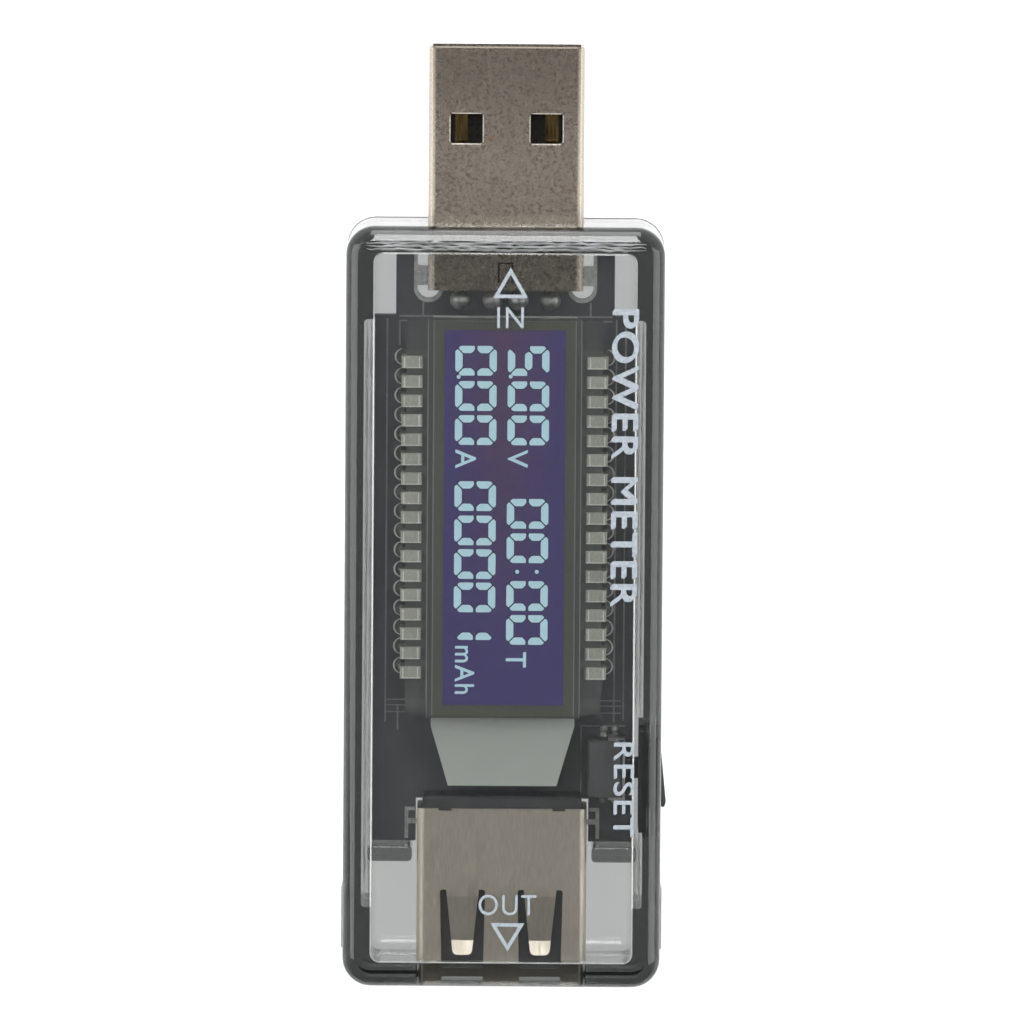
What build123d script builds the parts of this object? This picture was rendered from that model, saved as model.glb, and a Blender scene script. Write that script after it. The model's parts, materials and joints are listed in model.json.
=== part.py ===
from build123d import *
import os

# In-line USB power meter. Millimetres. The back of the case lies on z = 0 with the display facing +Z,
# the plug points to +Y, the socket opens to -Y, and the origin is the centre of the flat back.

# Case
CASE_LENGTH = 58.8
CASE_WIDTH = 24.5
CASE_HEIGHT = 12.0
PART_LINE = 5.4  # height of the joint between the two shells
PART_GAP = 0.02  # between them there, which the weld along the seam fills
CORNER_RADIUS = 2.2  # of the case's outline seen from the front
EDGE_ROUND = 1.1  # of the front and back edges
FLOOR = 1.2  # thickness of the front and back walls
END_WALL_PLUG = 2.0
END_WALL_SOCKET = 1.8
POCKET_HALF_WIDTH = 10.84  # inside, beside the board
NARROW_HALF_WIDTH = 10.15  # inside, at both ends, where the side walls are thicker
POCKET_LOW = -23.3
POCKET_HIGH = 22.2
POCKET_BACK = 1.6
POCKET_FRONT = 10.3
CAVITY_CORNER = 0.8
CAVITY_FRONT_ROUND = 0.15
CAVITY_BACK_ROUND = 0.7
POCKET_CORNER = 0.3
SHELL_BEVEL = 0.12  # of both shells' outer edges where they meet
LIP_OUTER = 0.80  # the front shell's joint lip, measured in from the outline
LIP_INNER = 1.35
LIP_DEPTH = 0.8
LIP_GAP = 0.05
LIP_END_GAP = 0.3  # from the lip's ends to the connectors and the key's flange
CONNECTOR_FIT = 0.03  # round both connectors, in the end walls
RIB_OUTER = 10.4  # ribs that stop the board's lower edge, run into the side walls
RIB_INNER = 6.95
RIB_LENGTH = 1.2
RIB_TOP = 7.5
RIB_GAP = 0.06
RIB_ROUND = 0.35
RIB_EDGE_ROUND = 0.14
GRIP_HEIGHT = 0.2  # low bumps on both sides, for the fingers
GRIP_LOW = -27.25
GRIP_HIGH = -22.5
GRIP_MID_Z = 3.0
GRIP_THICKNESS = 3.2
FAR = 40.0  # beyond every part, for cuts that go right through

# Circuit board
BOARD_BACK = 3.1
BOARD_FRONT = 4.3
BOARD_HALF_WIDTH = 10.1
BOARD_NECK_HALF_WIDTH = 8.45  # beside the plug
BOARD_LOW = -18.84
BOARD_SHOULDER = 22.1
BOARD_TOP = 26.9
TONGUE_CUT = 26.4  # edge of the board under the plug
POST_RADIUS = 0.7
POST_X = 9.3
POST_YS = (18.5, 1.0, -16.9)
LEG_HOLE_RADIUS = 0.32
SOLDER_FILM = 0.12  # height of flat solder on the board
RIM_WIDTH = 0.28

# Plug, a standard USB-A plug sunk into the board
PLUG_WIDTH = 12.0
PLUG_HEIGHT = 4.5
SHEET = 0.3
PLUG_MID = 5.0  # height of its middle above the back
PLUG_TIP = 43.0
PLUG_REAR = 24.2
PLUG_CORNER = 0.62
WINDOW_WIDTH = 2.5
WINDOW_LENGTH = 2.3
WINDOW_SPAN = 8.65  # over both windows
WINDOW_FROM_TIP = 5.16
WINDOW_CORNER = 0.25
WINDOW_BEVEL = 0.07
TIP_BEVEL = 0.1
CONTACT_XS = (-3.5, -1.0, 1.0, 3.5)
CONTACT_WIDTH = 1.0
CONTACT_SHEET = 0.2
PLUG_TONGUE_TOP = 5.0
PLUG_TONGUE_HALF_WIDTH = 5.6
PLUG_SLOT_INNER = 5.1  # the board's slots, in which the shell's sides stand
PLUG_SLOT_OUTER = 6.8
PLUG_SLOT_END = 23.35
PLUG_JOINT_Y = 23.27
PLUG_JOINT_RADIUS = 0.8
PLUG_JOINT_HEIGHT = 0.6
CONTACT_BEND = 0.12
CONTACT_PROUD = 0.05  # how far the contacts stand out of their tongue
SEAM = 0.06  # where the plug's sheet meets itself
SEAM_DEPTH = 0.2
LOCK_LOW = 24.75  # the punched lock square near the plug's rear
LOCK_HIGH = 26.4
LOCK_HALF_WIDTH = 0.6
LOCK_CUT = 0.15
PLUG_BLOCK_SETBACK = 0.25
PLUG_BLOCK_END = 27.6
PLUG_BRIDGE = (24.4, 25.9)

# Socket, a standard USB-A receptacle sunk into the board
SOCKET_WIDTH = 13.12
SOCKET_HEIGHT = 5.72
SOCKET_MID = 6.0
SOCKET_MOUTH = -29.35
SOCKET_REAR = -15.8
SOCKET_CORNER = 0.6
NOTCH_X = (3.9, 4.9)  # notches in the shell's rear edge
NOTCH_DEPTH = 0.18
SOCKET_BLOCK_LENGTH = 1.55
TONGUE_HALF_WIDTH = 5.55
TONGUE_HEIGHT = 1.84
TONGUE_GAP = 0.72  # between the tongue and the shell's front wall
TONGUE_TIP = -28.25
FINGER_XS = (-3.0, 3.0)
FINGER_ROOT = -22.1
FINGER_BEND = -26.1
FINGER_TIP = -27.2
FINGER_ROOT_WIDTH = 2.6
FINGER_TIP_WIDTH = 1.47
FINGER_DROP = 0.42
FINGER_CORNER = 0.4
SLOT_ROOT_WIDTH = 3.5
SLOT_TIP_WIDTH = 3.2
SLOT_END = -28.85
SOCKET_CUT_HALF_WIDTH = 6.7  # of the board's cut-out round the socket
SOCKET_CUT_TOP = -15.5
SOCKET_RIM_OUTER = 7.55  # solder rims on the board beside the socket
SOCKET_RIM_TOP = -16.2
SOCKET_DROP = 0.14  # from the shell's rear to the contacts that go down behind it
SOCKET_JOINT_Y = -14.7
SOCKET_JOINT_RADIUS = 0.75
SOCKET_JOINT_HEIGHT = 0.5
SOCKET_COVER_END = -14.9  # of the block behind the shell that covers the contacts
SOCKET_COVER_HALF_WIDTH = 6.15
SOCKET_COVER_TOP = 8.45
SOCKET_COVER_BEVEL = 0.12
SOCKET_BRIDGE = (-17.5, -17.1)
SOCKET_BLOCK_GAP = 0.02

# Display
LCD_MID = 6.85
GLASS = 0.7
POLARISER = 0.2
LCD_TOP = 10.4
FRONT_GLASS_WIDTH = 11.8
FRONT_GLASS_LENGTH = 30.9
REAR_GLASS_WIDTH = 15.1
REAR_GLASS_LENGTH = 30.4
POLARISER_WIDTH = 11.0
POLARISER_LENGTH = 30.5
PIN_PITCH = 1.5
PIN_COUNT = 17
PIN_TAB_INNER = 6.3
PIN_OUTER = 7.95
PIN_SHEET = 0.2
PIN_LEG = 0.3
PIN_TAB_WIDTH = 0.95
PIN_LEG_WIDTH = 0.45
PIN_FOOT = 2.7
PIN_UNDER_INNER = 6.6
PIN_CONE_RADIUS = 0.62
PIN_CONE_TIP_RADIUS = 0.3
PIN_CONE_FRONT = 0.6
PIN_CONE_BACK = 0.4

# Light guide and lamp
GUIDE_FRONT = 8.55
GUIDE_BACK = 6.5
GUIDE_HALF_WIDTH = 5.55
GUIDE_TOP = 22.2
TAIL_SHOULDER = -9.4
TAIL_END = -14.04
TAIL_END_HALF_WIDTH = 4.19
FOOT_RADIUS = 0.6
FOOT_XS = (-4.85, 4.85)
FOOT_YS = (20.6, -6.9)
FILM = 0.1
FILM_HALF_WIDTH = 4.1
FILM_LOW = -11.44
FILM_HIGH = 21.9
LAMP_Y = -12.6
LAMP_WIDTH = 2.8
LAMP_DEPTH = 1.4
LAMP_TOP = 7.8
LAMP_BACK = 6.1
LAMP_LEG = 0.35
LAMP_LEG_X = 0.9

# Reset key and its switch
KEY_HIGH = -10.2  # ends of the hole in the side wall
KEY_LOW = -15.8
KEY_MID_Z = 6.0
KEY_HOLE_HEIGHT = 4.6
KEY_GAP = 0.08
KEY_PROUD = 0.42
FLANGE_HIGH = -9.2
FLANGE_LOW = -17.6
FLANGE_HEIGHT = 6.2
FLANGE_INNER = 10.55
FLANGE_OUTER = 11.15
FLANGE_CORNER = 0.6
RECESS_INNER = 9.5
RECESS_GAP = 0.2
KEY_HOLE_CORNER = 0.5
KEY_CORNER = 0.45
SWITCH_Y = -12.8
SWITCH_INNER = 6.6
SWITCH_OUTER = 9.3
SWITCH_LENGTH = 4.4
SWITCH_BASE = 4.35
SWITCH_TOP = 7.8
COVER_SHEET = 0.2
PLUNGER_LENGTH = 1.6  # along Y
PLUNGER_HEIGHT = 1.1
PLUNGER_INNER = 8.37
PLUNGER_CORNER = 0.2
DOME_RADIUS = 1.34
DOME_FOOT = 7.6
DOME_APEX = 8.05
DOME_SHEET = 0.1
DOME_GAP = 0.06
TAB_INNER = 8.2
PLUNGER_GAP = 0.06
TERMINAL_XS = (7.84, 8.76)
TERMINAL_WIDTH = 0.44
TERMINAL_REACH = 0.75
TERMINAL_ROOT = 0.2
SWITCH_JOINT_RADIUS = 0.32
SWITCH_JOINT_HEIGHT = 0.25

# Parts on the back of the board: place, size and, for chips, their leads
CHIP_STANDOFF = 0.12
CHIP_BEVEL = 0.12
LEAD_SHEET = 0.15
CONTROLLER_Y = 8.0
CONTROLLER_SIDE = 7.0
CONTROLLER_HEIGHT = 1.4
CONTROLLER_LEADS = 12  # on each side
CONTROLLER_PITCH = 0.5
CONTROLLER_LEAD_WIDTH = 0.22
MEMORY_PLACE = (-3.6, -2.6)
MEMORY_WIDTH = 3.9
MEMORY_LENGTH = 4.9
SMALL_CHIP_HEIGHT = 1.45
SMALL_LEAD_WIDTH = 0.4
MEMORY_PITCH = 1.27
REGULATOR_PLACE = (3.6, -2.2)
REGULATOR_WIDTH = 2.5
REGULATOR_LENGTH = 4.5
REGULATOR_PITCH = 1.5
REGULATOR_TAB_LENGTH = 0.9
REGULATOR_TAB_WIDTH = 1.8
REGULATOR_TAB_SHEET = 0.4
SHUNT_Y = 17.0
SHUNT_MIDDLE = 5.2
SHUNT_END = 0.7
SHUNT_LENGTH = 3.2
SHUNT_HEIGHT = 0.6
CAPACITOR_SIZE = (1.25, 2.0, 0.85)  # width, length, height
CAPACITOR_PLACES = (
    (-5.6, 14.2), (5.6, 14.2), (-5.9, 3.0), (5.9, 3.0), (0.3, -2.4), (-1.6, -8.4),
)
RESISTOR_SIZE = (0.8, 1.6, 0.45)
RESISTOR_PLACES = (
    (-5.9, 9.5), (-5.9, 7.5), (5.9, 9.5), (5.9, 7.5), (2.6, -7.6), (2.6, -9.4), (5.4, -8.4), (-5.2, -8.4),
)
CAP_SHARE = 0.2  # of a chip part's length, at each end
CAP_PROUD = 0.02


def span(x, y, z):
    """A box from its two ends along each axis."""
    size = (x[1] - x[0], y[1] - y[0], z[1] - z[0])
    middle = ((x[0] + x[1]) / 2, (y[0] + y[1]) / 2, (z[0] + z[1]) / 2)
    return Pos(*middle) * Box(*size)


def both_sides(x, y, z):
    """Two boxes that mirror each other across the YZ plane."""
    return span(x, y, z) + span((-x[1], -x[0]), y, z)


def slab(outline, z_low, z_high):
    """An outline drawn in plan, made solid between two heights."""
    return Pos(0, 0, z_low) * extrude(outline, z_high - z_low)


def rounded_bar(width, height, z_mid, y_low, y_high, corner):
    """A bar along Y with a rounded rectangular section."""
    plane = Plane(origin=(0, y_low, z_mid), x_dir=(1, 0, 0), z_dir=(0, 1, 0))
    return extrude(plane * RectangleRounded(width, height, corner), y_high - y_low)


def side_plane(x):
    """The YZ plane at x: local x runs along Y and local y runs up."""
    return Plane(origin=(x, 0, 0), x_dir=(0, 1, 0), z_dir=(1, 0, 0))


def bent_strip(points, radius, thickness, width, plane):
    """A strip of sheet bent along a line drawn in plane, and centred on it."""
    line = FilletPolyline(*points, radius=radius)
    return extrude(plane * trace(line, thickness), width / 2, both=True)


def case_blank():
    """The outside of the closed case."""
    blank = slab(RectangleRounded(CASE_WIDTH, CASE_LENGTH, CORNER_RADIUS), 0, CASE_HEIGHT)
    faces = blank.faces().sort_by(Axis.Z)
    return fillet(faces[0].edges() + faces[-1].edges(), EDGE_ROUND)


def inside_plan(half_width, y_low, y_high, corner):
    """A rounded rectangle between two places along the case."""
    middle = (y_low + y_high) / 2
    return Pos(0, middle) * RectangleRounded(2 * half_width, y_high - y_low, corner)


def case_cavity():
    """The space inside both shells: narrow at the ends and wider beside the board."""
    low = -CASE_LENGTH / 2 + END_WALL_SOCKET
    high = CASE_LENGTH / 2 - END_WALL_PLUG
    plan = inside_plan(NARROW_HALF_WIDTH, low, high, CAVITY_CORNER)
    middle = slab(plan, FLOOR, CASE_HEIGHT - FLOOR)
    middle = fillet(middle.faces().sort_by(Axis.Z)[-1].edges(), CAVITY_FRONT_ROUND)
    middle = fillet(middle.faces().sort_by(Axis.Z)[0].edges(), CAVITY_BACK_ROUND)
    pocket_plan = inside_plan(POCKET_HALF_WIDTH, POCKET_LOW, POCKET_HIGH, POCKET_CORNER)
    return middle + slab(pocket_plan, POCKET_BACK, POCKET_FRONT)


def lip_ring(outer, inner, depth):
    """The joint's ring, between two insets from the case outline, below the parting line."""
    outside = RectangleRounded(CASE_WIDTH - 2 * outer, CASE_LENGTH - 2 * outer, CORNER_RADIUS - outer)
    inside = RectangleRounded(CASE_WIDTH - 2 * inner, CASE_LENGTH - 2 * inner, CORNER_RADIUS - inner)
    return slab(outside - inside, PART_LINE - depth, PART_LINE)


def plug_hole():
    width = PLUG_WIDTH + 2 * CONNECTOR_FIT
    height = PLUG_HEIGHT + 2 * CONNECTOR_FIT
    return rounded_bar(width, height, PLUG_MID, BOARD_TOP, FAR, PLUG_CORNER + CONNECTOR_FIT)


def socket_hole():
    width = SOCKET_WIDTH + 2 * CONNECTOR_FIT
    height = SOCKET_HEIGHT + 2 * CONNECTOR_FIT
    return rounded_bar(width, height, SOCKET_MID, -FAR, FINGER_BEND, SOCKET_CORNER + CONNECTOR_FIT)


def key_hole():
    """The hole in the side wall for the key, and the recess behind it for the key's flange."""
    half = KEY_HOLE_HEIGHT / 2
    hole = span((RECESS_INNER, FAR), (KEY_LOW, KEY_HIGH), (KEY_MID_Z - half, KEY_MID_Z + half))
    flange_half = FLANGE_HEIGHT / 2 + RECESS_GAP
    recess = span(
        (RECESS_INNER, FLANGE_OUTER + 0.05),
        (FLANGE_LOW - RECESS_GAP, FLANGE_HIGH + RECESS_GAP),
        (KEY_MID_Z - flange_half, KEY_MID_Z + flange_half),
    )
    return fillet(hole.edges().filter_by(Axis.X), KEY_HOLE_CORNER) + recess


def case_openings():
    return plug_hole() + socket_hole() + key_hole()


def lip_breaks():
    """Where the joint lip stops: round both connectors and the key's flange."""
    z = (PART_LINE - FLOOR, PART_LINE)
    plug_half = PLUG_WIDTH / 2 + LIP_END_GAP
    socket_half = SOCKET_WIDTH / 2 + LIP_END_GAP
    gap = RECESS_GAP + LIP_END_GAP
    plug = span((-plug_half, plug_half), (BOARD_TOP, FAR), z)
    socket = span((-socket_half, socket_half), (-FAR, FINGER_BEND), z)
    key = span((RECESS_INNER, FAR), (FLANGE_LOW - gap, FLANGE_HIGH + gap), z)
    return plug + socket + key


def front_shell():
    upper = span((-FAR, FAR), (-FAR, FAR), (PART_LINE, FAR))
    half = case_blank() & upper
    half = chamfer(half.faces().sort_by(Axis.Z)[0].edges(), SHELL_BEVEL)
    lip = lip_ring(LIP_OUTER, LIP_INNER, LIP_DEPTH) - lip_breaks()
    return half - case_cavity() - case_openings() + lip


def board_posts():
    """Posts on the back wall that the board lies on."""
    post = Pos(0, 0, (FLOOR + BOARD_BACK) / 2) * Cylinder(POST_RADIUS, BOARD_BACK - FLOOR)
    return [Pos(side * POST_X, y) * post for side in (-1, 1) for y in POST_YS]


def end_ribs():
    """Two ribs across the case that the board's lower edge stands against."""
    y_high = BOARD_LOW - RIB_GAP
    ribs = both_sides((RIB_INNER, RIB_OUTER), (y_high - RIB_LENGTH, y_high), (FLOOR - 0.1, RIB_TOP))
    ribs = fillet(ribs.edges().filter_by(Axis.Z), RIB_ROUND)
    return fillet(ribs.faces().group_by(Axis.Z)[-1].edges(), RIB_EDGE_ROUND)


def finger_grips():
    y_mid = (GRIP_LOW + GRIP_HIGH) / 2
    width = CASE_WIDTH + 2 * GRIP_HEIGHT
    bar = Pos(0, y_mid, GRIP_MID_Z) * Box(width, GRIP_HIGH - GRIP_LOW, GRIP_THICKNESS)
    bar = fillet(bar.edges().filter_by(Axis.Y), 0.15)
    inside = CASE_WIDTH / 2 - LIP_OUTER + LIP_GAP
    return bar - span((-inside, inside), (-FAR, 0), (0, FAR))


def rear_shell():
    lower = span((-FAR, FAR), (-FAR, FAR), (-FAR, PART_LINE - PART_GAP))
    groove = lip_ring(LIP_OUTER - LIP_GAP, LIP_INNER + LIP_GAP, LIP_DEPTH + LIP_GAP)
    half = case_blank() & lower
    half = chamfer(half.faces().sort_by(Axis.Z)[-1].edges(), SHELL_BEVEL)
    shell = half - case_cavity() - groove
    shell = shell + end_ribs() + finger_grips()
    for post in board_posts():
        shell = shell + post
    return shell - case_openings()


def reset_key():
    """A wedge that stands proud of the wall at its lower end, with a flange inside the wall."""
    wall = CASE_WIDTH / 2
    high = KEY_HIGH - KEY_GAP
    low = KEY_LOW + KEY_GAP
    outline = Polyline(
        (FLANGE_OUTER - 0.1, high),
        (wall - 0.03, high),
        (wall + 0.02, high - 0.9),
        (wall + KEY_PROUD, low + 0.45),
        (wall + KEY_PROUD - 0.12, low),
        (FLANGE_OUTER - 0.1, low),
        close=True,
    )
    half = KEY_HOLE_HEIGHT / 2 - KEY_GAP
    wedge = slab(make_face(outline), KEY_MID_Z - half, KEY_MID_Z + half)
    side_view = Pos((high + low) / 2, KEY_MID_Z) * RectangleRounded(high - low, 2 * half, KEY_CORNER)
    cap = wedge & extrude(side_plane(FLANGE_INNER) * side_view, 5)
    flange = span(
        (FLANGE_INNER, FLANGE_OUTER),
        (FLANGE_LOW, FLANGE_HIGH),
        (KEY_MID_Z - FLANGE_HEIGHT / 2, KEY_MID_Z + FLANGE_HEIGHT / 2),
    )
    return cap + fillet(flange.edges().filter_by(Axis.X), FLANGE_CORNER)


def main_board():
    plan = Pos(0, (BOARD_LOW + BOARD_SHOULDER) / 2) * Rectangle(
        2 * BOARD_HALF_WIDTH, BOARD_SHOULDER - BOARD_LOW
    )
    plan += Pos(0, (BOARD_SHOULDER + BOARD_TOP) / 2) * Rectangle(
        2 * BOARD_NECK_HALF_WIDTH, BOARD_TOP - BOARD_SHOULDER
    )
    board = slab(plan, BOARD_BACK, BOARD_FRONT)
    z = (0, FAR)
    tongue_cut = span((-PLUG_SLOT_INNER, PLUG_SLOT_INNER), (TONGUE_CUT, FAR), z)
    socket_cut = span((-SOCKET_CUT_HALF_WIDTH, SOCKET_CUT_HALF_WIDTH), (-FAR, SOCKET_CUT_TOP), z)
    board = board - plug_slots(0) - tongue_cut - socket_cut
    for side in (-1, 1):
        for y in pin_places():
            board = board - Pos(side * leg_middle(), y) * Cylinder(LEG_HOLE_RADIUS, FAR)
    return board


def plug_slots(grow):
    """The two round-ended slots beside the plug, open at the board's top edge."""
    middle = (PLUG_SLOT_INNER + PLUG_SLOT_OUTER) / 2
    width = PLUG_SLOT_OUTER - PLUG_SLOT_INNER + 2 * grow
    plan = Pos(0, PLUG_SLOT_END - grow + 5) * RectangleRounded(width, 10, width / 2 - 0.01)
    return slab(Pos(middle, 0) * plan + Pos(-middle, 0) * plan, 0, FAR)


def plug_shell():
    outer = rounded_bar(PLUG_WIDTH, PLUG_HEIGHT, PLUG_MID, PLUG_REAR, PLUG_TIP, PLUG_CORNER)
    outer = chamfer(outer.faces().sort_by(Axis.Y)[-1].edges(), TIP_BEVEL)
    width = PLUG_WIDTH - 2 * SHEET
    height = PLUG_HEIGHT - 2 * SHEET
    shell = outer - rounded_bar(width, height, PLUG_MID, 0, FAR + 5, PLUG_CORNER - SHEET)
    window_x = (WINDOW_SPAN - WINDOW_WIDTH) / 2
    window_y = PLUG_TIP - WINDOW_FROM_TIP - WINDOW_LENGTH / 2
    window = RectangleRounded(WINDOW_WIDTH, WINDOW_LENGTH, WINDOW_CORNER)
    windows = Pos(window_x, window_y) * window + Pos(-window_x, window_y) * window
    shell = shell - slab(windows, 0, FAR)
    shell = chamfer(shell.edges().filter_by(is_window_rim), WINDOW_BEVEL)
    seam = span((-SEAM / 2, SEAM / 2), (0, FAR + 5), (0, PLUG_MID - PLUG_HEIGHT / 2 + SEAM_DEPTH))
    z = (PLUG_MID, FAR)
    inner = LOCK_HALF_WIDTH - LOCK_CUT
    lock = span((-LOCK_HALF_WIDTH, LOCK_HALF_WIDTH), (LOCK_LOW, LOCK_HIGH), z)
    lock = lock - span((-inner, inner), (0, LOCK_HIGH - LOCK_CUT), z)
    return shell - seam - lock


def is_window_rim(edge):
    """Tells whether an edge of the plug's shell runs round a window, on the outside."""
    middle = edge.center()
    on_face = abs(abs(middle.Z - PLUG_MID) - PLUG_HEIGHT / 2) < 0.01
    from_tip = PLUG_TIP - middle.Y
    beside = abs(middle.X) < WINDOW_SPAN / 2 + 0.1
    return on_face and beside and WINDOW_FROM_TIP - 0.1 < from_tip < WINDOW_FROM_TIP + WINDOW_LENGTH + 0.1


def plug_insulator():
    """The tongue that carries the contacts, and the block that closes the shell's rear."""
    low = PLUG_MID - PLUG_HEIGHT / 2 + SHEET
    high = PLUG_MID + PLUG_HEIGHT / 2 - SHEET
    half = PLUG_TONGUE_HALF_WIDTH
    tongue = span((-half, half), (TONGUE_CUT + 0.15, PLUG_TIP - 0.4), (low, PLUG_TONGUE_TOP))
    block_y = (PLUG_REAR + PLUG_BLOCK_SETBACK, PLUG_BLOCK_END)
    body = tongue + span((-half, half), block_y, (BOARD_FRONT + 0.05, high))
    body = chamfer(body.faces().sort_by(Axis.Y)[-1].edges(), 0.2)
    long_edges = body.edges().filter_by(Axis.Y)
    body = chamfer(long_edges.filter_by(lambda e: e.length > 14).group_by(Axis.Z)[0], 0.12)
    return body - plug_contacts(0.01)


def plug_contacts(grow):
    """Four contacts along the tongue, each bent down behind the shell to a foot on the board."""
    top = PLUG_TONGUE_TOP + CONTACT_PROUD - CONTACT_SHEET / 2
    foot = BOARD_FRONT + CONTACT_SHEET / 2
    contacts = []
    for x in CONTACT_XS:
        tip = PLUG_TIP - (1.1 if abs(x) > 2 else 2.1)
        line = [(tip, top), (PLUG_REAR, top), (PLUG_REAR, foot), (PLUG_JOINT_Y - 0.5, foot)]
        width = CONTACT_WIDTH + 2 * grow
        contacts.append(bent_strip(line, CONTACT_BEND, CONTACT_SHEET + 2 * grow, width, side_plane(x)))
    return Part() + contacts


def solder_domes(places, radius, height, front=True):
    """Round solder joints that stand on the front or the back of the board."""
    ball_radius = (radius**2 + height**2) / (2 * height)
    out = 1 if front else -1
    ball = Pos(0, 0, out * (height - ball_radius)) * Sphere(ball_radius)
    dome = ball & span((-FAR, FAR), (-FAR, FAR), (0, FAR) if front else (-FAR, 0))
    face = BOARD_FRONT if front else BOARD_BACK
    return Part() + [Pos(x, y, face) * dome for x, y in places]


def plug_solder():
    places = [(x, PLUG_JOINT_Y) for x in CONTACT_XS]
    return solder_domes(places, PLUG_JOINT_RADIUS, PLUG_JOINT_HEIGHT) - plug_contacts(0)


def plug_shell_solder():
    """Solder rims round the plug's slots, with a bridge from each rim to the shell."""
    top = BOARD_FRONT + SOLDER_FILM
    rim = plug_slots(RIM_WIDTH) - plug_slots(0)
    rim = rim & span((-FAR, FAR), (0, BOARD_TOP), (BOARD_FRONT, top))
    under_plug = span((-PLUG_TONGUE_HALF_WIDTH, PLUG_TONGUE_HALF_WIDTH), (PLUG_REAR - 0.1, FAR), (0, FAR))
    bridge = both_sides((PLUG_WIDTH / 2, PLUG_SLOT_OUTER), PLUG_BRIDGE, (BOARD_BACK + 0.2, top))
    return (rim - under_plug) + bridge


def socket_shell():
    outer = rounded_bar(SOCKET_WIDTH, SOCKET_HEIGHT, SOCKET_MID, SOCKET_MOUTH, SOCKET_REAR, SOCKET_CORNER)
    width = SOCKET_WIDTH - 2 * SHEET
    height = SOCKET_HEIGHT - 2 * SHEET
    shell = outer - rounded_bar(width, height, SOCKET_MID, -FAR, 0, SOCKET_CORNER - SHEET)
    face = SOCKET_HEIGHT / 2
    shell = shell - both_sides(NOTCH_X, (SOCKET_REAR - NOTCH_DEPTH, 0), (SOCKET_MID, FAR))
    for side in (-1, 1):
        wall = (SOCKET_MID + side * (face - SHEET - 0.1), SOCKET_MID + side * (face + 0.1))
        for x in FINGER_XS:
            shell = shell - slab(Pos(x, 0) * finger_slot(), min(wall), max(wall))
    for side in (-1, 1):
        for x in FINGER_XS:
            shell = shell + spring_finger(x, side)
    return shell


def finger_slot():
    """The opening round one spring finger, in plan."""
    outline = Polyline(
        (-SLOT_ROOT_WIDTH / 2, FINGER_ROOT),
        (SLOT_ROOT_WIDTH / 2, FINGER_ROOT),
        (SLOT_TIP_WIDTH / 2, SLOT_END),
        (-SLOT_TIP_WIDTH / 2, SLOT_END),
        close=True,
    )
    face = make_face(outline)
    return fillet(face.vertices(), 0.2)


def finger_plan():
    outline = Polyline(
        (-FINGER_ROOT_WIDTH / 2, FINGER_ROOT + 0.3),
        (FINGER_ROOT_WIDTH / 2, FINGER_ROOT + 0.3),
        (FINGER_TIP_WIDTH / 2, FINGER_TIP),
        (-FINGER_TIP_WIDTH / 2, FINGER_TIP),
        close=True,
    )
    face = make_face(outline)
    return fillet(face.vertices().group_by(Axis.Y)[0], FINGER_CORNER)


def spring_finger(x, side):
    """A finger bent into the socket, with its tip turned out again. side is 1 on the front wall."""
    face = SOCKET_MID + side * (SOCKET_HEIGHT / 2 - SHEET / 2)
    line = [
        (FINGER_ROOT + 0.2, face),
        (FINGER_ROOT - 0.5, face),
        (FINGER_BEND, face - side * FINGER_DROP),
        (FINGER_TIP - 0.1, face - side * 0.12),
    ]
    strip = bent_strip(line, 0.3, SHEET - 0.04, FINGER_ROOT_WIDTH + 1, side_plane(x))
    return strip & slab(Pos(x, 0) * finger_plan(), 0, CASE_HEIGHT)


def socket_insulator():
    """The block that closes the socket's rear, its cover behind, and the tongue in front."""
    width = SOCKET_WIDTH - 2 * (SHEET + SOCKET_BLOCK_GAP)
    height = SOCKET_HEIGHT - 2 * (SHEET + SOCKET_BLOCK_GAP)
    rear = SOCKET_REAR - 0.1
    front = rear - SOCKET_BLOCK_LENGTH
    block = rounded_bar(width, height, SOCKET_MID, front, rear, SOCKET_CORNER - SHEET)
    tongue_top = SOCKET_MID + SOCKET_HEIGHT / 2 - SHEET - TONGUE_GAP
    tongue = span(
        (-TONGUE_HALF_WIDTH, TONGUE_HALF_WIDTH),
        (TONGUE_TIP, front),
        (tongue_top - TONGUE_HEIGHT, tongue_top),
    )
    tongue = chamfer(tongue.faces().sort_by(Axis.Y)[0].edges(), 0.25)
    half = SOCKET_COVER_HALF_WIDTH
    cover = span((-half, half), (rear - 0.1, SOCKET_COVER_END), (BOARD_FRONT + 0.05, SOCKET_COVER_TOP))
    cover = chamfer(cover.faces().sort_by(Axis.Y)[-1].edges(), SOCKET_COVER_BEVEL)
    return block + tongue + cover - socket_contacts(0.01)


def socket_contacts(grow):
    """Four contacts under the tongue, each bent down behind the shell to a foot on the board's back."""
    tongue_back = SOCKET_MID + SOCKET_HEIGHT / 2 - SHEET - TONGUE_GAP - TONGUE_HEIGHT
    top = tongue_back - CONTACT_SHEET / 2 + CONTACT_PROUD
    foot = BOARD_BACK - CONTACT_SHEET / 2
    drop = SOCKET_REAR + SOCKET_DROP
    contacts = []
    for x in CONTACT_XS:
        line = [(TONGUE_TIP + 0.6, top), (drop, top), (drop, foot), (SOCKET_JOINT_Y + 0.3, foot)]
        width = CONTACT_WIDTH + 2 * grow
        contacts.append(bent_strip(line, CONTACT_BEND, CONTACT_SHEET + 2 * grow, width, side_plane(x)))
    return Part() + contacts


def socket_solder():
    places = [(x, SOCKET_JOINT_Y) for x in CONTACT_XS]
    domes = solder_domes(places, SOCKET_JOINT_RADIUS, SOCKET_JOINT_HEIGHT, front=False)
    return domes - socket_contacts(0)


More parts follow.
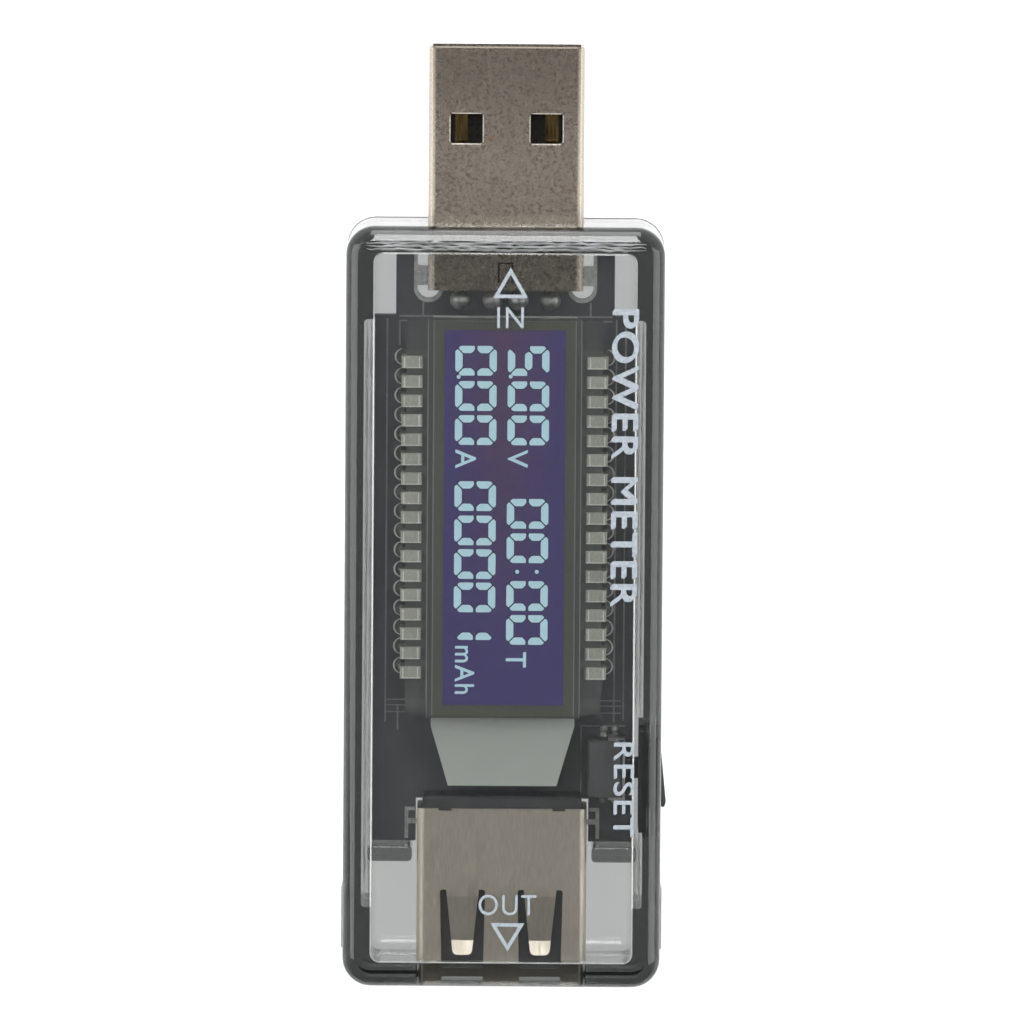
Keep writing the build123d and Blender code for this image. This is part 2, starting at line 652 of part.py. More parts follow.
def socket_shell_solder():
    """Solder rims on the board on both sides of the socket, each with a bridge to the shell."""
    z = (BOARD_FRONT, BOARD_FRONT + SOLDER_FILM)
    inner = SOCKET_RIM_OUTER - RIM_WIDTH
    side = both_sides((inner, SOCKET_RIM_OUTER), (BOARD_LOW + 0.2, SOCKET_RIM_TOP), z)
    top = both_sides((SOCKET_CUT_HALF_WIDTH + 0.05, inner), (SOCKET_RIM_TOP - RIM_WIDTH, SOCKET_RIM_TOP), z)
    bridge = both_sides((SOCKET_WIDTH / 2, inner), SOCKET_BRIDGE, z)
    return side + top + bridge


def lcd_plate(width, length, top, thickness):
    return Pos(0, LCD_MID, top - thickness / 2) * Box(width, length, thickness)


def lcd_front_polariser():
    return lcd_plate(POLARISER_WIDTH, POLARISER_LENGTH, LCD_TOP, POLARISER)


def lcd_front_glass():
    return lcd_plate(FRONT_GLASS_WIDTH, FRONT_GLASS_LENGTH, LCD_TOP - POLARISER, GLASS)


def lcd_rear_glass():
    return lcd_plate(REAR_GLASS_WIDTH, REAR_GLASS_LENGTH, LCD_TOP - POLARISER - GLASS, GLASS)


def lcd_rear_polariser():
    top = LCD_TOP - POLARISER - 2 * GLASS
    return lcd_plate(POLARISER_WIDTH, POLARISER_LENGTH - 1, top, POLARISER - 0.05)


def pin_places():
    first = LCD_MID + PIN_PITCH * (PIN_COUNT - 1) / 2
    return [first - PIN_PITCH * i for i in range(PIN_COUNT)]


def leg_middle():
    return PIN_OUTER - PIN_LEG / 2


def lcd_pin(side, y):
    """A clip over the edge of the rear glass, with a leg down through the board."""
    ledge = LCD_TOP - POLARISER - GLASS
    back = ledge - GLASS
    half_tab = PIN_TAB_WIDTH / 2
    half_leg = PIN_LEG_WIDTH / 2
    web = REAR_GLASS_WIDTH / 2 + 0.02
    upper = span((PIN_TAB_INNER, PIN_OUTER), (-half_tab, half_tab), (ledge, ledge + PIN_SHEET))
    upper = chamfer(upper.edges().filter_by(Axis.Y).group_by(Axis.Z)[-1], 0.08)
    lower = span((PIN_UNDER_INNER, web + 0.1), (-half_tab, half_tab), (back - PIN_SHEET, back))
    joint = span((web, PIN_OUTER), (-half_tab, half_tab), (back - PIN_SHEET, ledge + 0.05))
    leg = span((PIN_OUTER - PIN_LEG, PIN_OUTER), (-half_leg, half_leg), (PIN_FOOT, back))
    pin = Pos(0, y, 0) * (upper + lower + joint + leg)
    return pin if side > 0 else mirror(pin, about=Plane.YZ)


def lcd_pins(side):
    return Part() + [lcd_pin(side, y) for y in pin_places()]


def lcd_pin_solder():
    """A small cone of solder round each leg, on both faces of the board."""
    leg = Box(PIN_LEG, PIN_LEG_WIDTH, FAR)
    front = Cone(PIN_CONE_RADIUS, PIN_CONE_TIP_RADIUS, PIN_CONE_FRONT)
    back = Cone(PIN_CONE_TIP_RADIUS, PIN_CONE_RADIUS, PIN_CONE_BACK)
    pair = [
        Pos(0, 0, BOARD_FRONT + PIN_CONE_FRONT / 2) * front - leg,
        Pos(0, 0, BOARD_BACK - PIN_CONE_BACK / 2) * back - leg,
    ]
    places = [(side * leg_middle(), y) for side in (-1, 1) for y in pin_places()]
    return Part() + [Pos(*place) * cone for place in places for cone in pair]


def light_guide():
    """A diffuser plate behind the display, with a tapered tail that holds the lamp."""
    outline = Polyline(
        (-GUIDE_HALF_WIDTH, GUIDE_TOP),
        (GUIDE_HALF_WIDTH, GUIDE_TOP),
        (GUIDE_HALF_WIDTH, TAIL_SHOULDER),
        (TAIL_END_HALF_WIDTH, TAIL_END),
        (-TAIL_END_HALF_WIDTH, TAIL_END),
        (-GUIDE_HALF_WIDTH, TAIL_SHOULDER),
        close=True,
    )
    guide = slab(make_face(outline), GUIDE_BACK, GUIDE_FRONT)
    for x in FOOT_XS:
        for y in FOOT_YS:
            height = GUIDE_BACK - BOARD_FRONT
            guide = guide + Pos(x, y, BOARD_FRONT + height / 2) * Cylinder(FOOT_RADIUS, height)
    return guide - backlight_led(0.05)


def backlight_led(grow):
    half = LAMP_WIDTH / 2 + grow
    depth = LAMP_DEPTH / 2 + grow
    return span((-half, half), (LAMP_Y - depth, LAMP_Y + depth), (LAMP_BACK, LAMP_TOP + grow))


def led_leads():
    leg = Box(LAMP_LEG, LAMP_LEG, LAMP_BACK - BOARD_FRONT)
    z = (BOARD_FRONT + LAMP_BACK) / 2
    return Part() + [Pos(x, LAMP_Y, z) * leg for x in (-LAMP_LEG_X, LAMP_LEG_X)]


def reflector_film():
    z = (GUIDE_BACK - FILM, GUIDE_BACK)
    return span((-FILM_HALF_WIDTH, FILM_HALF_WIDTH), (FILM_LOW, FILM_HIGH), z)


def switch_body():
    half = SWITCH_LENGTH / 2
    body = span((SWITCH_INNER, SWITCH_OUTER), (SWITCH_Y - half, SWITCH_Y + half), (SWITCH_BASE, SWITCH_TOP))
    body = chamfer(body.faces().sort_by(Axis.Z)[-1].edges(), 0.15)
    pocket = extrude(side_plane(DOME_FOOT) * Pos(SWITCH_Y, KEY_MID_Z) * Circle(DOME_RADIUS + DOME_GAP), FAR)
    return body - pocket


def switch_cover():
    """A bent sheet over the switch's outer face, held by two side tabs."""
    half = SWITCH_LENGTH / 2
    y_low = SWITCH_Y - half
    y_high = SWITCH_Y + half
    z = (SWITCH_BASE + 0.2, SWITCH_TOP - 0.2)
    plate = span((SWITCH_OUTER, SWITCH_OUTER + COVER_SHEET), (y_low - COVER_SHEET, y_high + COVER_SHEET), z)
    tab_x = (TAB_INNER, SWITCH_OUTER + COVER_SHEET)
    low_tab = span(tab_x, (y_low - COVER_SHEET, y_low), z)
    high_tab = span(tab_x, (y_high, y_high + COVER_SHEET), z)
    return plate + low_tab + high_tab - plunger_bar(PLUNGER_GAP, (DOME_FOOT, FAR))


def plunger_bar(gap, x):
    half_length = PLUNGER_LENGTH / 2 + gap
    half_height = PLUNGER_HEIGHT / 2 + gap
    y = (SWITCH_Y - half_length, SWITCH_Y + half_length)
    return span(x, y, (KEY_MID_Z - half_height, KEY_MID_Z + half_height))


def switch_plunger():
    plunger = plunger_bar(0, (PLUNGER_INNER, FLANGE_INNER))
    return fillet(plunger.edges().filter_by(Axis.X), PLUNGER_CORNER)


def switch_dome():
    """A thin snap dome, with its crown towards the plunger."""
    rise = DOME_APEX - DOME_FOOT
    ball_radius = (DOME_RADIUS**2 + rise**2) / (2 * rise)
    centre = Pos(DOME_APEX - ball_radius, SWITCH_Y, KEY_MID_Z) * Rot(0, 90, 0)
    cap = (centre * Sphere(ball_radius)) & span((DOME_FOOT, FAR), (-FAR, FAR), (0, FAR))
    return cap - centre * Sphere(ball_radius - DOME_SHEET)


def switch_terminals():
    root = SWITCH_LENGTH / 2 - TERMINAL_ROOT
    end = SWITCH_LENGTH / 2 + TERMINAL_REACH
    half = TERMINAL_WIDTH / 2
    feet = [
        span((x - half, x + half), y, (BOARD_FRONT, SWITCH_BASE))
        for x in TERMINAL_XS
        for y in ((SWITCH_Y - end, SWITCH_Y - root), (SWITCH_Y + root, SWITCH_Y + end))
    ]
    return Part() + feet


def switch_solder():
    offset = SWITCH_LENGTH / 2 + TERMINAL_REACH - 0.2
    places = [(x, SWITCH_Y + side * offset) for x in TERMINAL_XS for side in (-1, 1)]
    return solder_domes(places, SWITCH_JOINT_RADIUS, SWITCH_JOINT_HEIGHT) - switch_terminals()


def chip_body(x, y, width, length, height):
    """A moulded package on the back of the board, with its edges bevelled."""
    high = BOARD_BACK - CHIP_STANDOFF
    body = span((x - width / 2, x + width / 2), (y - length / 2, y + length / 2), (high - height, high))
    return chamfer(body.faces().sort_by(Axis.Z)[0].edges(), CHIP_BEVEL)


def gull_lead(height, width):
    """One lead that leaves a package along +X and is bent to a foot on the board's back."""
    mid = BOARD_BACK - CHIP_STANDOFF - height / 2
    foot = BOARD_BACK - LEAD_SHEET / 2 - 0.005
    plane = Plane(origin=(0, 0, 0), x_dir=(1, 0, 0), z_dir=(0, -1, 0))
    return bent_strip([(0, mid), (0.4, mid), (0.5, foot), (1.0, foot)], 0.08, LEAD_SHEET, width, plane)


def lead_row(count, pitch, chip_width, height, lead_width):
    """Leads along a package's +X side."""
    lead = gull_lead(height, lead_width)
    return [Pos(chip_width / 2, (i - (count - 1) / 2) * pitch, 0) * lead for i in range(count)]


def turned_rows(place, row, turns):
    """A row of leads repeated round a package, at the given turns in degrees."""
    return Part() + [Pos(*place) * Rot(0, 0, turn) * lead for turn in turns for lead in row]


def controller_chip():
    return chip_body(0, CONTROLLER_Y, CONTROLLER_SIDE, CONTROLLER_SIDE, CONTROLLER_HEIGHT)


def controller_leads():
    row = lead_row(
        CONTROLLER_LEADS, CONTROLLER_PITCH, CONTROLLER_SIDE, CONTROLLER_HEIGHT, CONTROLLER_LEAD_WIDTH
    )
    return turned_rows((0, CONTROLLER_Y), row, (0, 90, 180, 270))


def memory_chip():
    return chip_body(*MEMORY_PLACE, MEMORY_WIDTH, MEMORY_LENGTH, SMALL_CHIP_HEIGHT)


def memory_leads():
    row = lead_row(4, MEMORY_PITCH, MEMORY_WIDTH, SMALL_CHIP_HEIGHT, SMALL_LEAD_WIDTH)
    return turned_rows(MEMORY_PLACE, row, (0, 180))


def regulator():
    return chip_body(*REGULATOR_PLACE, REGULATOR_WIDTH, REGULATOR_LENGTH, SMALL_CHIP_HEIGHT)


def regulator_leads():
    """Three leads on one side and a wide tab on the other."""
    row = lead_row(3, REGULATOR_PITCH, REGULATOR_WIDTH, SMALL_CHIP_HEIGHT, SMALL_LEAD_WIDTH)
    side = REGULATOR_PLACE[0] + REGULATOR_WIDTH / 2
    half = REGULATOR_TAB_WIDTH / 2
    y = (REGULATOR_PLACE[1] - half, REGULATOR_PLACE[1] + half)
    tab = span((side, side + REGULATOR_TAB_LENGTH), y, (BOARD_BACK - REGULATOR_TAB_SHEET, BOARD_BACK))
    return turned_rows(REGULATOR_PLACE, row, (180,)) + tab


def back_block(x, y, width, length, height):
    """A block that lies on the back of the board."""
    return Pos(x, y, BOARD_BACK - height / 2) * Box(width, length, height)


def shunt_resistor():
    return back_block(0, SHUNT_Y, SHUNT_MIDDLE, SHUNT_LENGTH, SHUNT_HEIGHT)


def shunt_terminals():
    x = (SHUNT_MIDDLE + SHUNT_END) / 2
    return Part() + [back_block(side * x, SHUNT_Y, SHUNT_END, SHUNT_LENGTH, SHUNT_HEIGHT) for side in (-1, 1)]


def chip_part_middles(places, size):
    """The middles of chip parts that lie along Y."""
    width, length, height = size
    middle = length * (1 - 2 * CAP_SHARE)
    return Part() + [back_block(x, y, width, middle, height) for x, y in places]


def chip_part_caps(places, size):
    """The metal ends of chip parts that lie along Y."""
    width, length, height = size
    offset = length * (1 - CAP_SHARE) / 2
    cap = (width + 2 * CAP_PROUD, length * CAP_SHARE, height + CAP_PROUD)
    return Part() + [back_block(x, y + side * offset, *cap) for x, y in places for side in (-1, 1)]


def chip_capacitors():
    return chip_part_middles(CAPACITOR_PLACES, CAPACITOR_SIZE)


def chip_resistors():
    return chip_part_middles(RESISTOR_PLACES, RESISTOR_SIZE)


def chip_end_caps():
    capacitors = chip_part_caps(CAPACITOR_PLACES, CAPACITOR_SIZE)
    return capacitors + chip_part_caps(RESISTOR_PLACES, RESISTOR_SIZE)


NODES = {
    "front_shell": front_shell,
    "rear_shell": rear_shell,
    "reset_key": reset_key,
    "main_board": main_board,
    "lcd_front_polariser": lcd_front_polariser,
    "lcd_front_glass": lcd_front_glass,
    "lcd_rear_glass": lcd_rear_glass,
    "lcd_rear_polariser": lcd_rear_polariser,
    "lcd_pins_left": lambda: lcd_pins(-1),
    "lcd_pins_right": lambda: lcd_pins(1),
    "lcd_pin_solder": lcd_pin_solder,
    "light_guide": light_guide,
    "reflector_film": reflector_film,
    "backlight_led": lambda: backlight_led(0),
    "led_leads": led_leads,
    "plug_shell": plug_shell,
    "plug_insulator": plug_insulator,
    "plug_contacts": lambda: plug_contacts(0),
    "plug_solder": plug_solder,
    "plug_shell_solder": plug_shell_solder,
    "socket_shell": socket_shell,
    "socket_insulator": socket_insulator,
    "socket_contacts": lambda: socket_contacts(0),
    "socket_solder": socket_solder,
    "socket_shell_solder": socket_shell_solder,
    "switch_body": switch_body,
    "switch_cover": switch_cover,
    "switch_plunger": switch_plunger,
    "switch_dome": switch_dome,
    "switch_terminals": switch_terminals,
    "switch_solder": switch_solder,
    "controller_chip": controller_chip,
    "controller_leads": controller_leads,
    "memory_chip": memory_chip,
    "memory_leads": memory_leads,
    "regulator": regulator,
    "regulator_leads": regulator_leads,
    "shunt_resistor": shunt_resistor,
    "shunt_terminals": shunt_terminals,
    "chip_capacitors": chip_capacitors,
    "chip_resistors": chip_resistors,
    "chip_end_caps": chip_end_caps,
}

os.makedirs("parts", exist_ok=True)
for node, make in NODES.items():
    export_step(make(), "parts/" + node + ".step")
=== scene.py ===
"""USB power meter: finishes, printed legends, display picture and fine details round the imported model."""

import json
import math
import random

import bmesh
import bpy
from mathutils import Matrix, Vector


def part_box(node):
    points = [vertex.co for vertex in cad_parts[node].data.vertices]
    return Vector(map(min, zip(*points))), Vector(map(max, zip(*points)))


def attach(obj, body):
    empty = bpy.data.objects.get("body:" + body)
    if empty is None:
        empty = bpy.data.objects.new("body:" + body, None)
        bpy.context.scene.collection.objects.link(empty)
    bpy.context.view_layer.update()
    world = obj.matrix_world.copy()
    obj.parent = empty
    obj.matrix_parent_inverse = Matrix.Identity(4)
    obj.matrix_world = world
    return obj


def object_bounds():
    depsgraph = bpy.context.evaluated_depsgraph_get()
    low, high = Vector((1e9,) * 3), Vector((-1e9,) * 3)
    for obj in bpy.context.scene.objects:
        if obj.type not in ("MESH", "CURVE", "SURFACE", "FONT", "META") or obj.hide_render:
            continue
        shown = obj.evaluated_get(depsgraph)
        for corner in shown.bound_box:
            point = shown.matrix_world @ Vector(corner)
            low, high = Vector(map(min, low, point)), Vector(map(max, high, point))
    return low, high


MM = 0.001

# Camera: a long lens, tipped a little towards the plug's end
CAMERA_TILT = math.radians(5.4)
CAMERA_ROLL = math.radians(0.4)
CAMERA_DISTANCE = 0.9
VIEW_WIDTH = 79.2 * MM
VIEW_OFFSET_X = 0.62 * MM
VIEW_OFFSET_Y = 0.14 * MM
SENSOR = 36.0

# Smoked plastic
SMOKE_DENSITY = 1020.0
SMOKE_COLOUR = (0.76, 0.767, 0.762, 1)

METAL_GRAIN = 0.12  # mm

# Display picture, in mm. It reads towards -Y and the tops of its digits point to +X.
PICTURE_HALF_WIDTH = 4.65
POLARISER_EDGE = 5.5
PICTURE_LOW = -7.56
PICTURE_HIGH = 21.41
DIGIT_WIDTH = 2.3
DIGIT_HEIGHT = 3.2
STROKE = 0.57
DIAGONAL_GAP = 0.1
MIDDLE_GAP = 0.2
DIGIT_CORNER = 0.42
LOWER_ROW = -3.82
UPPER_ROW = 0.22
DIGITS = {  # row: (start, digit) along -Y
    LOWER_ROW: (*((start, "0") for start in (20.2, 17.48, 14.85, 9.75, 7.1, 4.5, 1.92)), (-0.22, "1")),
    UPPER_ROW: ((20.2, "5"), *((start, "0") for start in (17.48, 14.85, 8.41, 5.75, 2.06, -0.57))),
}
LIT = {"0": "abcdef", "1": "bc", "5": "afgcd"}  # segments that each digit lights
# Two decimal points, then the colon's two points
DOTS = ((-3.55, 17.8), (0.45, 17.85), (1.05, 2.78), (2.56, 2.78))
DOT_RADIUS = 0.16
SEGMENT_ROUND = 0.09
# Width of the painted shadow round each lit segment, in mm
SEGMENT_SHADOW = 0.07
DISPLAY_LAYER = 0.012

# Pins of the display, with the painted highlights along them and the painted glints round their joints, in mm
PIN_COUNT = 17
PIN_HALF_TAB = 0.475
PIN_TAB_SPAN = (6.36, 7.86)
PIN_BENDS = ((6.58, 0.4, 0.09), (7.72, 0.36, 0.11))  # x, reach past the pin's middle, width
PIN_FOOT_EDGE = 0.07
PIN_JOINT_X = 7.84
JOINT_GLINT = (0.63, 0.1, 0.075)  # radius, height over the board, half thickness

# Plug's windows and the painted highlights round them, in mm
WINDOW_X = (1.83, 4.33)
WINDOW_FROM_TIP = (5.16, 7.46)
WINDOW_EDGE = 0.06
WINDOW_ROOT_EDGE = 0.09  # on the side towards the case, which catches the light

# Case, in mm
CASE_HALF_WIDTH = 12.25
CASE_CORNER = 2.2
BACK_ROUND = 1.1
BACK_LINE = 0.045  # half thickness of the painted shade line along the back's edge
BACK_LINE_END = 1.5  # how far the line goes on past each corner
LEGEND_LAYER = 0.02
LEGEND_STROKE = 0.27
BOARD_LAYER = 0.02

# Weld flash, in mm
WELD_SPAN = (-23.2, 22.1)
WELD_HEIGHT = 0.95  # over the front shell's lowest edge
WELD_THREADS = (("_inner", 10.32, 0.14, 31), ("_outer", 10.66, 0.12, 32))  # suffix, x, half width, seed
WELD_KEY_GAP = 0.35
# The flash across the plug's end is also a painted glint along the inside of the end wall.
END_WELD_SPAN = (-10.7, 10.8)
END_WELD_DEPTH = 1.35  # behind the front face
END_WELD_THREADS = (("outer", 28.1, 21), ("middle", 27.85, 23), ("inner", 27.6, 22))  # suffix, y, seed

# Surround: where it starts and ends to change along a direction, and its strength before and after
WORLD_BY_HEIGHT = (0.3, 0.97, 1.1, 0.34)
WORLD_BY_LENGTH = (-0.9, 0.15, 0.12, 1.0)

LIGHTS = (  # name, place and size in metres, radiance
    ("high_strip", (0, 0.382, 0.703), (0.12, 0.6), 13.5),
    ("low_strip", (0, 0.75, 0.28), (0.3, 0.56), 5.0),
    ("left_box", (-0.62, 0.1, 0.58), (0.5, 0.9), 3.1),
    ("right_box", (0.64, 0.0, 0.56), (0.45, 0.9), 2.8),
)
FLOOR_SIZE = 6.0
FLOOR_GAP = 0.02 * MM

UP = Vector((0, 0, 1))

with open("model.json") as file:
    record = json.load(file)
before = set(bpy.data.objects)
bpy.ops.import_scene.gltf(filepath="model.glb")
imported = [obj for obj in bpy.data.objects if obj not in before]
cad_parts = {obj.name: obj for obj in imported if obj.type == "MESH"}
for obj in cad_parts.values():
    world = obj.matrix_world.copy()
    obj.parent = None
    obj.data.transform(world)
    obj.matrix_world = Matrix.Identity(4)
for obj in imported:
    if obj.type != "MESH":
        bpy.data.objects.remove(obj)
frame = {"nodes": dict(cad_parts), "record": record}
cad_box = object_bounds()
nodes = frame["nodes"]
case_low, case_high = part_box("rear_shell")
front_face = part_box("front_shell")[1].z
board_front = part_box("main_board")[1].z
picture_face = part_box("lcd_front_polariser")[1].z


class Graph:
    """A new material's node tree, with short calls that add and join nodes."""

    def __init__(self, name):
        self.material = bpy.data.materials.new(name)
        self.material.use_nodes = True
        self.tree = self.material.node_tree
        self.shader = self.tree.nodes["Principled BSDF"]
        self.place = self.tree.nodes.new("ShaderNodeTexCoord").outputs["Object"]

    def feed(self, socket, value):
        if isinstance(value, bpy.types.NodeSocket):
            self.tree.links.new(value, socket)
        else:
            socket.default_value = value

    def add(self, kind, inputs, **settings):
        node = self.tree.nodes.new(kind)
        for name, value in settings.items():
            setattr(node, name, value)
        for name, value in inputs.items():
            self.feed(node.inputs[name], value)
        return node

    def set(self, **values):
        """Feeds the shader's sockets, whose names are given with _ for a space."""
        for name, value in values.items():
            self.feed(self.shader.inputs[name.replace("_", " ")], value)

    def noise(self, size, detail=3.0, stretch=(1, 1, 1)):
        """Noise from 0 to 1 with features of a size in mm, drawn out along an axis by stretch."""
        scale = [1 / s for s in stretch]
        drawn = self.add("ShaderNodeMapping", {"Vector": self.place, "Scale": scale})
        inputs = {"Vector": drawn.outputs[0], "Scale": 1 / (size * MM), "Detail": detail}
        return self.add("ShaderNodeTexNoise", inputs).outputs["Fac"]

    def spots(self, size):
        """Distance from scattered points, for pits and specks."""
        inputs = {"Vector": self.place, "Scale": 1 / (size * MM)}
        return self.add("ShaderNodeTexVoronoi", inputs).outputs["Distance"]

    def math(self, operation, a, b=0.0, clamp=False):
        node = self.add("ShaderNodeMath", {0: a, 1: b}, operation=operation)
        node.use_clamp = clamp
        return node.outputs[0]

    def step(self, value, low, high, start=0.0, end=1.0):
        """Goes from start to end as value goes from low to high."""
        inputs = {"Value": value, "From Min": low, "From Max": high, "To Min": start, "To Max": end}
        return self.add("ShaderNodeMapRange", inputs).outputs["Result"]

    def axes(self):
        """Where the point is along the part's X, Y and Z, in metres."""
        split = self.add("ShaderNodeSeparateXYZ", {"Vector": self.place})
        return split.outputs["X"], split.outputs["Y"], split.outputs["Z"]

    def mix(self, amount, a, b):
        node = self.tree.nodes.new("ShaderNodeMix")
        node.data_type = "RGBA"
        sockets = {s.identifier: s for s in node.inputs}
        self.feed(sockets["Factor_Float"], amount)
        self.feed(sockets["A_Color"], a)
        self.feed(sockets["B_Color"], b)
        return next(s for s in node.outputs if s.identifier == "Result_Color")

    def bump(self, height, depth):
        """Feeds the shader's normal with a relief of the given depth in mm."""
        inputs = {"Height": height, "Distance": depth * MM, "Strength": 1.0}
        self.set(Normal=self.add("ShaderNodeBump", inputs).outputs["Normal"])


def shade(red, green, blue):
    """A colour with its opacity, from linear values."""
    return (red, green, blue, 1.0)


def smoked_plastic(name):
    """Clear smoked plastic: the tint is in its volume, so thick walls are darker."""
    g = Graph(name)
    flow = g.noise(6, 2, (1, 3, 1))
    rub = g.noise(0.5, 4, (1, 6, 1))
    g.set(Base_Color=g.mix(flow, shade(0.97, 0.975, 0.98), shade(1, 1, 1)))
    g.set(Transmission_Weight=1.0, IOR=1.49)
    g.set(Roughness=g.step(rub, 0.35, 0.75, 0.0, 0.05))
    g.bump(g.noise(3.5, 1), 0.0015)
    absorb = g.add("ShaderNodeVolumeAbsorption", {"Color": SMOKE_COLOUR, "Density": SMOKE_DENSITY})
    output = g.tree.nodes["Material Output"]
    g.tree.links.new(absorb.outputs["Volume"], output.inputs["Volume"])
    return g.material


def moulded(name, colour, roughness, grain=0.12, gloss=0.5):
    """Opaque moulded plastic with a fine spark-eroded grain."""
    g = Graph(name)
    cloud = g.noise(1.5, 4)
    darker = shade(*[c * 0.7 for c in colour[:3]])
    g.set(Base_Color=g.mix(cloud, darker, colour))
    g.set(Roughness=g.step(g.noise(0.3, 4), 0.3, 0.7, roughness - 0.08, roughness + 0.1))
    g.set(Specular_IOR_Level=gloss)
    g.bump(g.noise(grain, 3), 0.02)
    return g.material


def board_mask():
    """Black solder mask, a little cloudy and uneven."""
    g = Graph("board_mask")
    cloud = g.noise(3, 4)
    g.set(Base_Color=g.mix(cloud, shade(0.075, 0.08, 0.09), shade(0.105, 0.111, 0.122)))
    g.set(Roughness=g.step(g.noise(0.4, 3), 0.3, 0.7, 0.32, 0.5))
    g.set(Specular_IOR_Level=0.5)
    g.bump(g.noise(0.25, 2), 0.008)
    return g.material


def display_picture():
    """The polariser: an olive border round the violet field of the lit display, with a painted highlight
    along the border's outer edge.
    """
    g = Graph("display_picture")
    x, y, _ = g.axes()
    offset = g.math("ABSOLUTE", x)
    soft = 0.06 * MM
    half_width = PICTURE_HALF_WIDTH * MM
    side = g.step(offset, half_width - soft, half_width + soft, 1, 0)
    middle = (PICTURE_LOW + PICTURE_HIGH) / 2 * MM
    half = (PICTURE_HIGH - PICTURE_LOW) / 2 * MM
    along = g.math("ABSOLUTE", g.math("SUBTRACT", y, middle))
    end = g.step(along, half - soft, half + soft, 1, 0)
    inside = g.math("MULTIPLY", side, end)
    from_middle = g.step(offset, 0, half_width)
    warmth = g.math("MULTIPLY", g.step(y, -6 * MM, 14 * MM), g.math("SUBTRACT", 1.0, from_middle))
    mottle = g.math("ADD", warmth, g.step(g.noise(0.5, 5), 0.3, 0.7, -0.25, 0.25), clamp=True)
    violet = g.mix(mottle, shade(0.06, 0.048, 0.175), shade(0.09, 0.055, 0.125))
    border = g.mix(g.noise(0.6, 4), shade(0.12, 0.124, 0.101), shade(0.142, 0.146, 0.12))
    # Painted highlight: the border is lightened near the polariser's outer edge.
    rim = g.step(offset, (POLARISER_EDGE - 0.12) * MM, (POLARISER_EDGE - 0.04) * MM, 0, 0.8)
    highlighted_border = g.mix(rim, border, shade(0.36, 0.365, 0.34))
    g.set(Base_Color=g.mix(inside, highlighted_border, g.mix(0.35, shade(0, 0, 0), violet)))
    g.set(Emission_Color=g.mix(inside, shade(0, 0, 0), violet), Emission_Strength=0.7)
    g.set(Roughness=0.32)
    g.bump(g.noise(0.2, 2), 0.002)
    return g.material


def display_glass():
    """The display's two plates, dark where nothing lights them, with edges left pale by grinding and
    brightened further as a painted highlight.
    """
    g = Graph("display_glass")
    x, _, _ = g.axes()
    offset = g.math("ABSOLUTE", x)
    base = g.mix(g.noise(1.2, 4), shade(0.115, 0.122, 0.119), shade(0.15, 0.156, 0.15))
    edge_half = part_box("lcd_front_glass")[1].x
    near = g.math("ABSOLUTE", g.math("SUBTRACT", offset, edge_half))
    # Partly the pale edge left by grinding, partly a painted highlight along it.
    ground_edge_highlight = g.step(near, 0.02 * MM, 0.07 * MM, 1, 0)
    lead = g.add("ShaderNodeTexWave", {"Vector": g.place, "Scale": 105.0}, bands_direction="Y")
    past_edge = g.step(offset, edge_half, edge_half + 0.1 * MM)
    lines = g.math("MULTIPLY", g.step(lead.outputs["Fac"], 0.8, 0.95), past_edge)
    traced = g.mix(g.math("MULTIPLY", lines, 0.35), base, shade(0.2, 0.21, 0.2))
    g.set(Base_Color=g.mix(g.math("MULTIPLY", ground_edge_highlight, 0.9), traced, shade(0.42, 0.43, 0.41)))
    g.set(Roughness=0.12)
    g.set(Coat_Weight=0.3)
    return g.material


def metal(name, colour, dull, roughness, grain=(1, 1, 1), sheen=1.0):
    """Plated or rolled metal that wanders between two shades, with a grain along one axis."""
    g = Graph(name)
    fine = g.noise(METAL_GRAIN, 5, grain)
    g.set(Base_Color=g.mix(g.step(fine, 0.3, 0.7), dull, colour))
    g.set(Metallic=sheen)
    coarse = g.noise(METAL_GRAIN * 2, 3, grain)
    g.set(Roughness=g.step(coarse, 0.3, 0.7, roughness - 0.08, roughness + 0.1))
    g.bump(fine, 0.01)
    return g.material


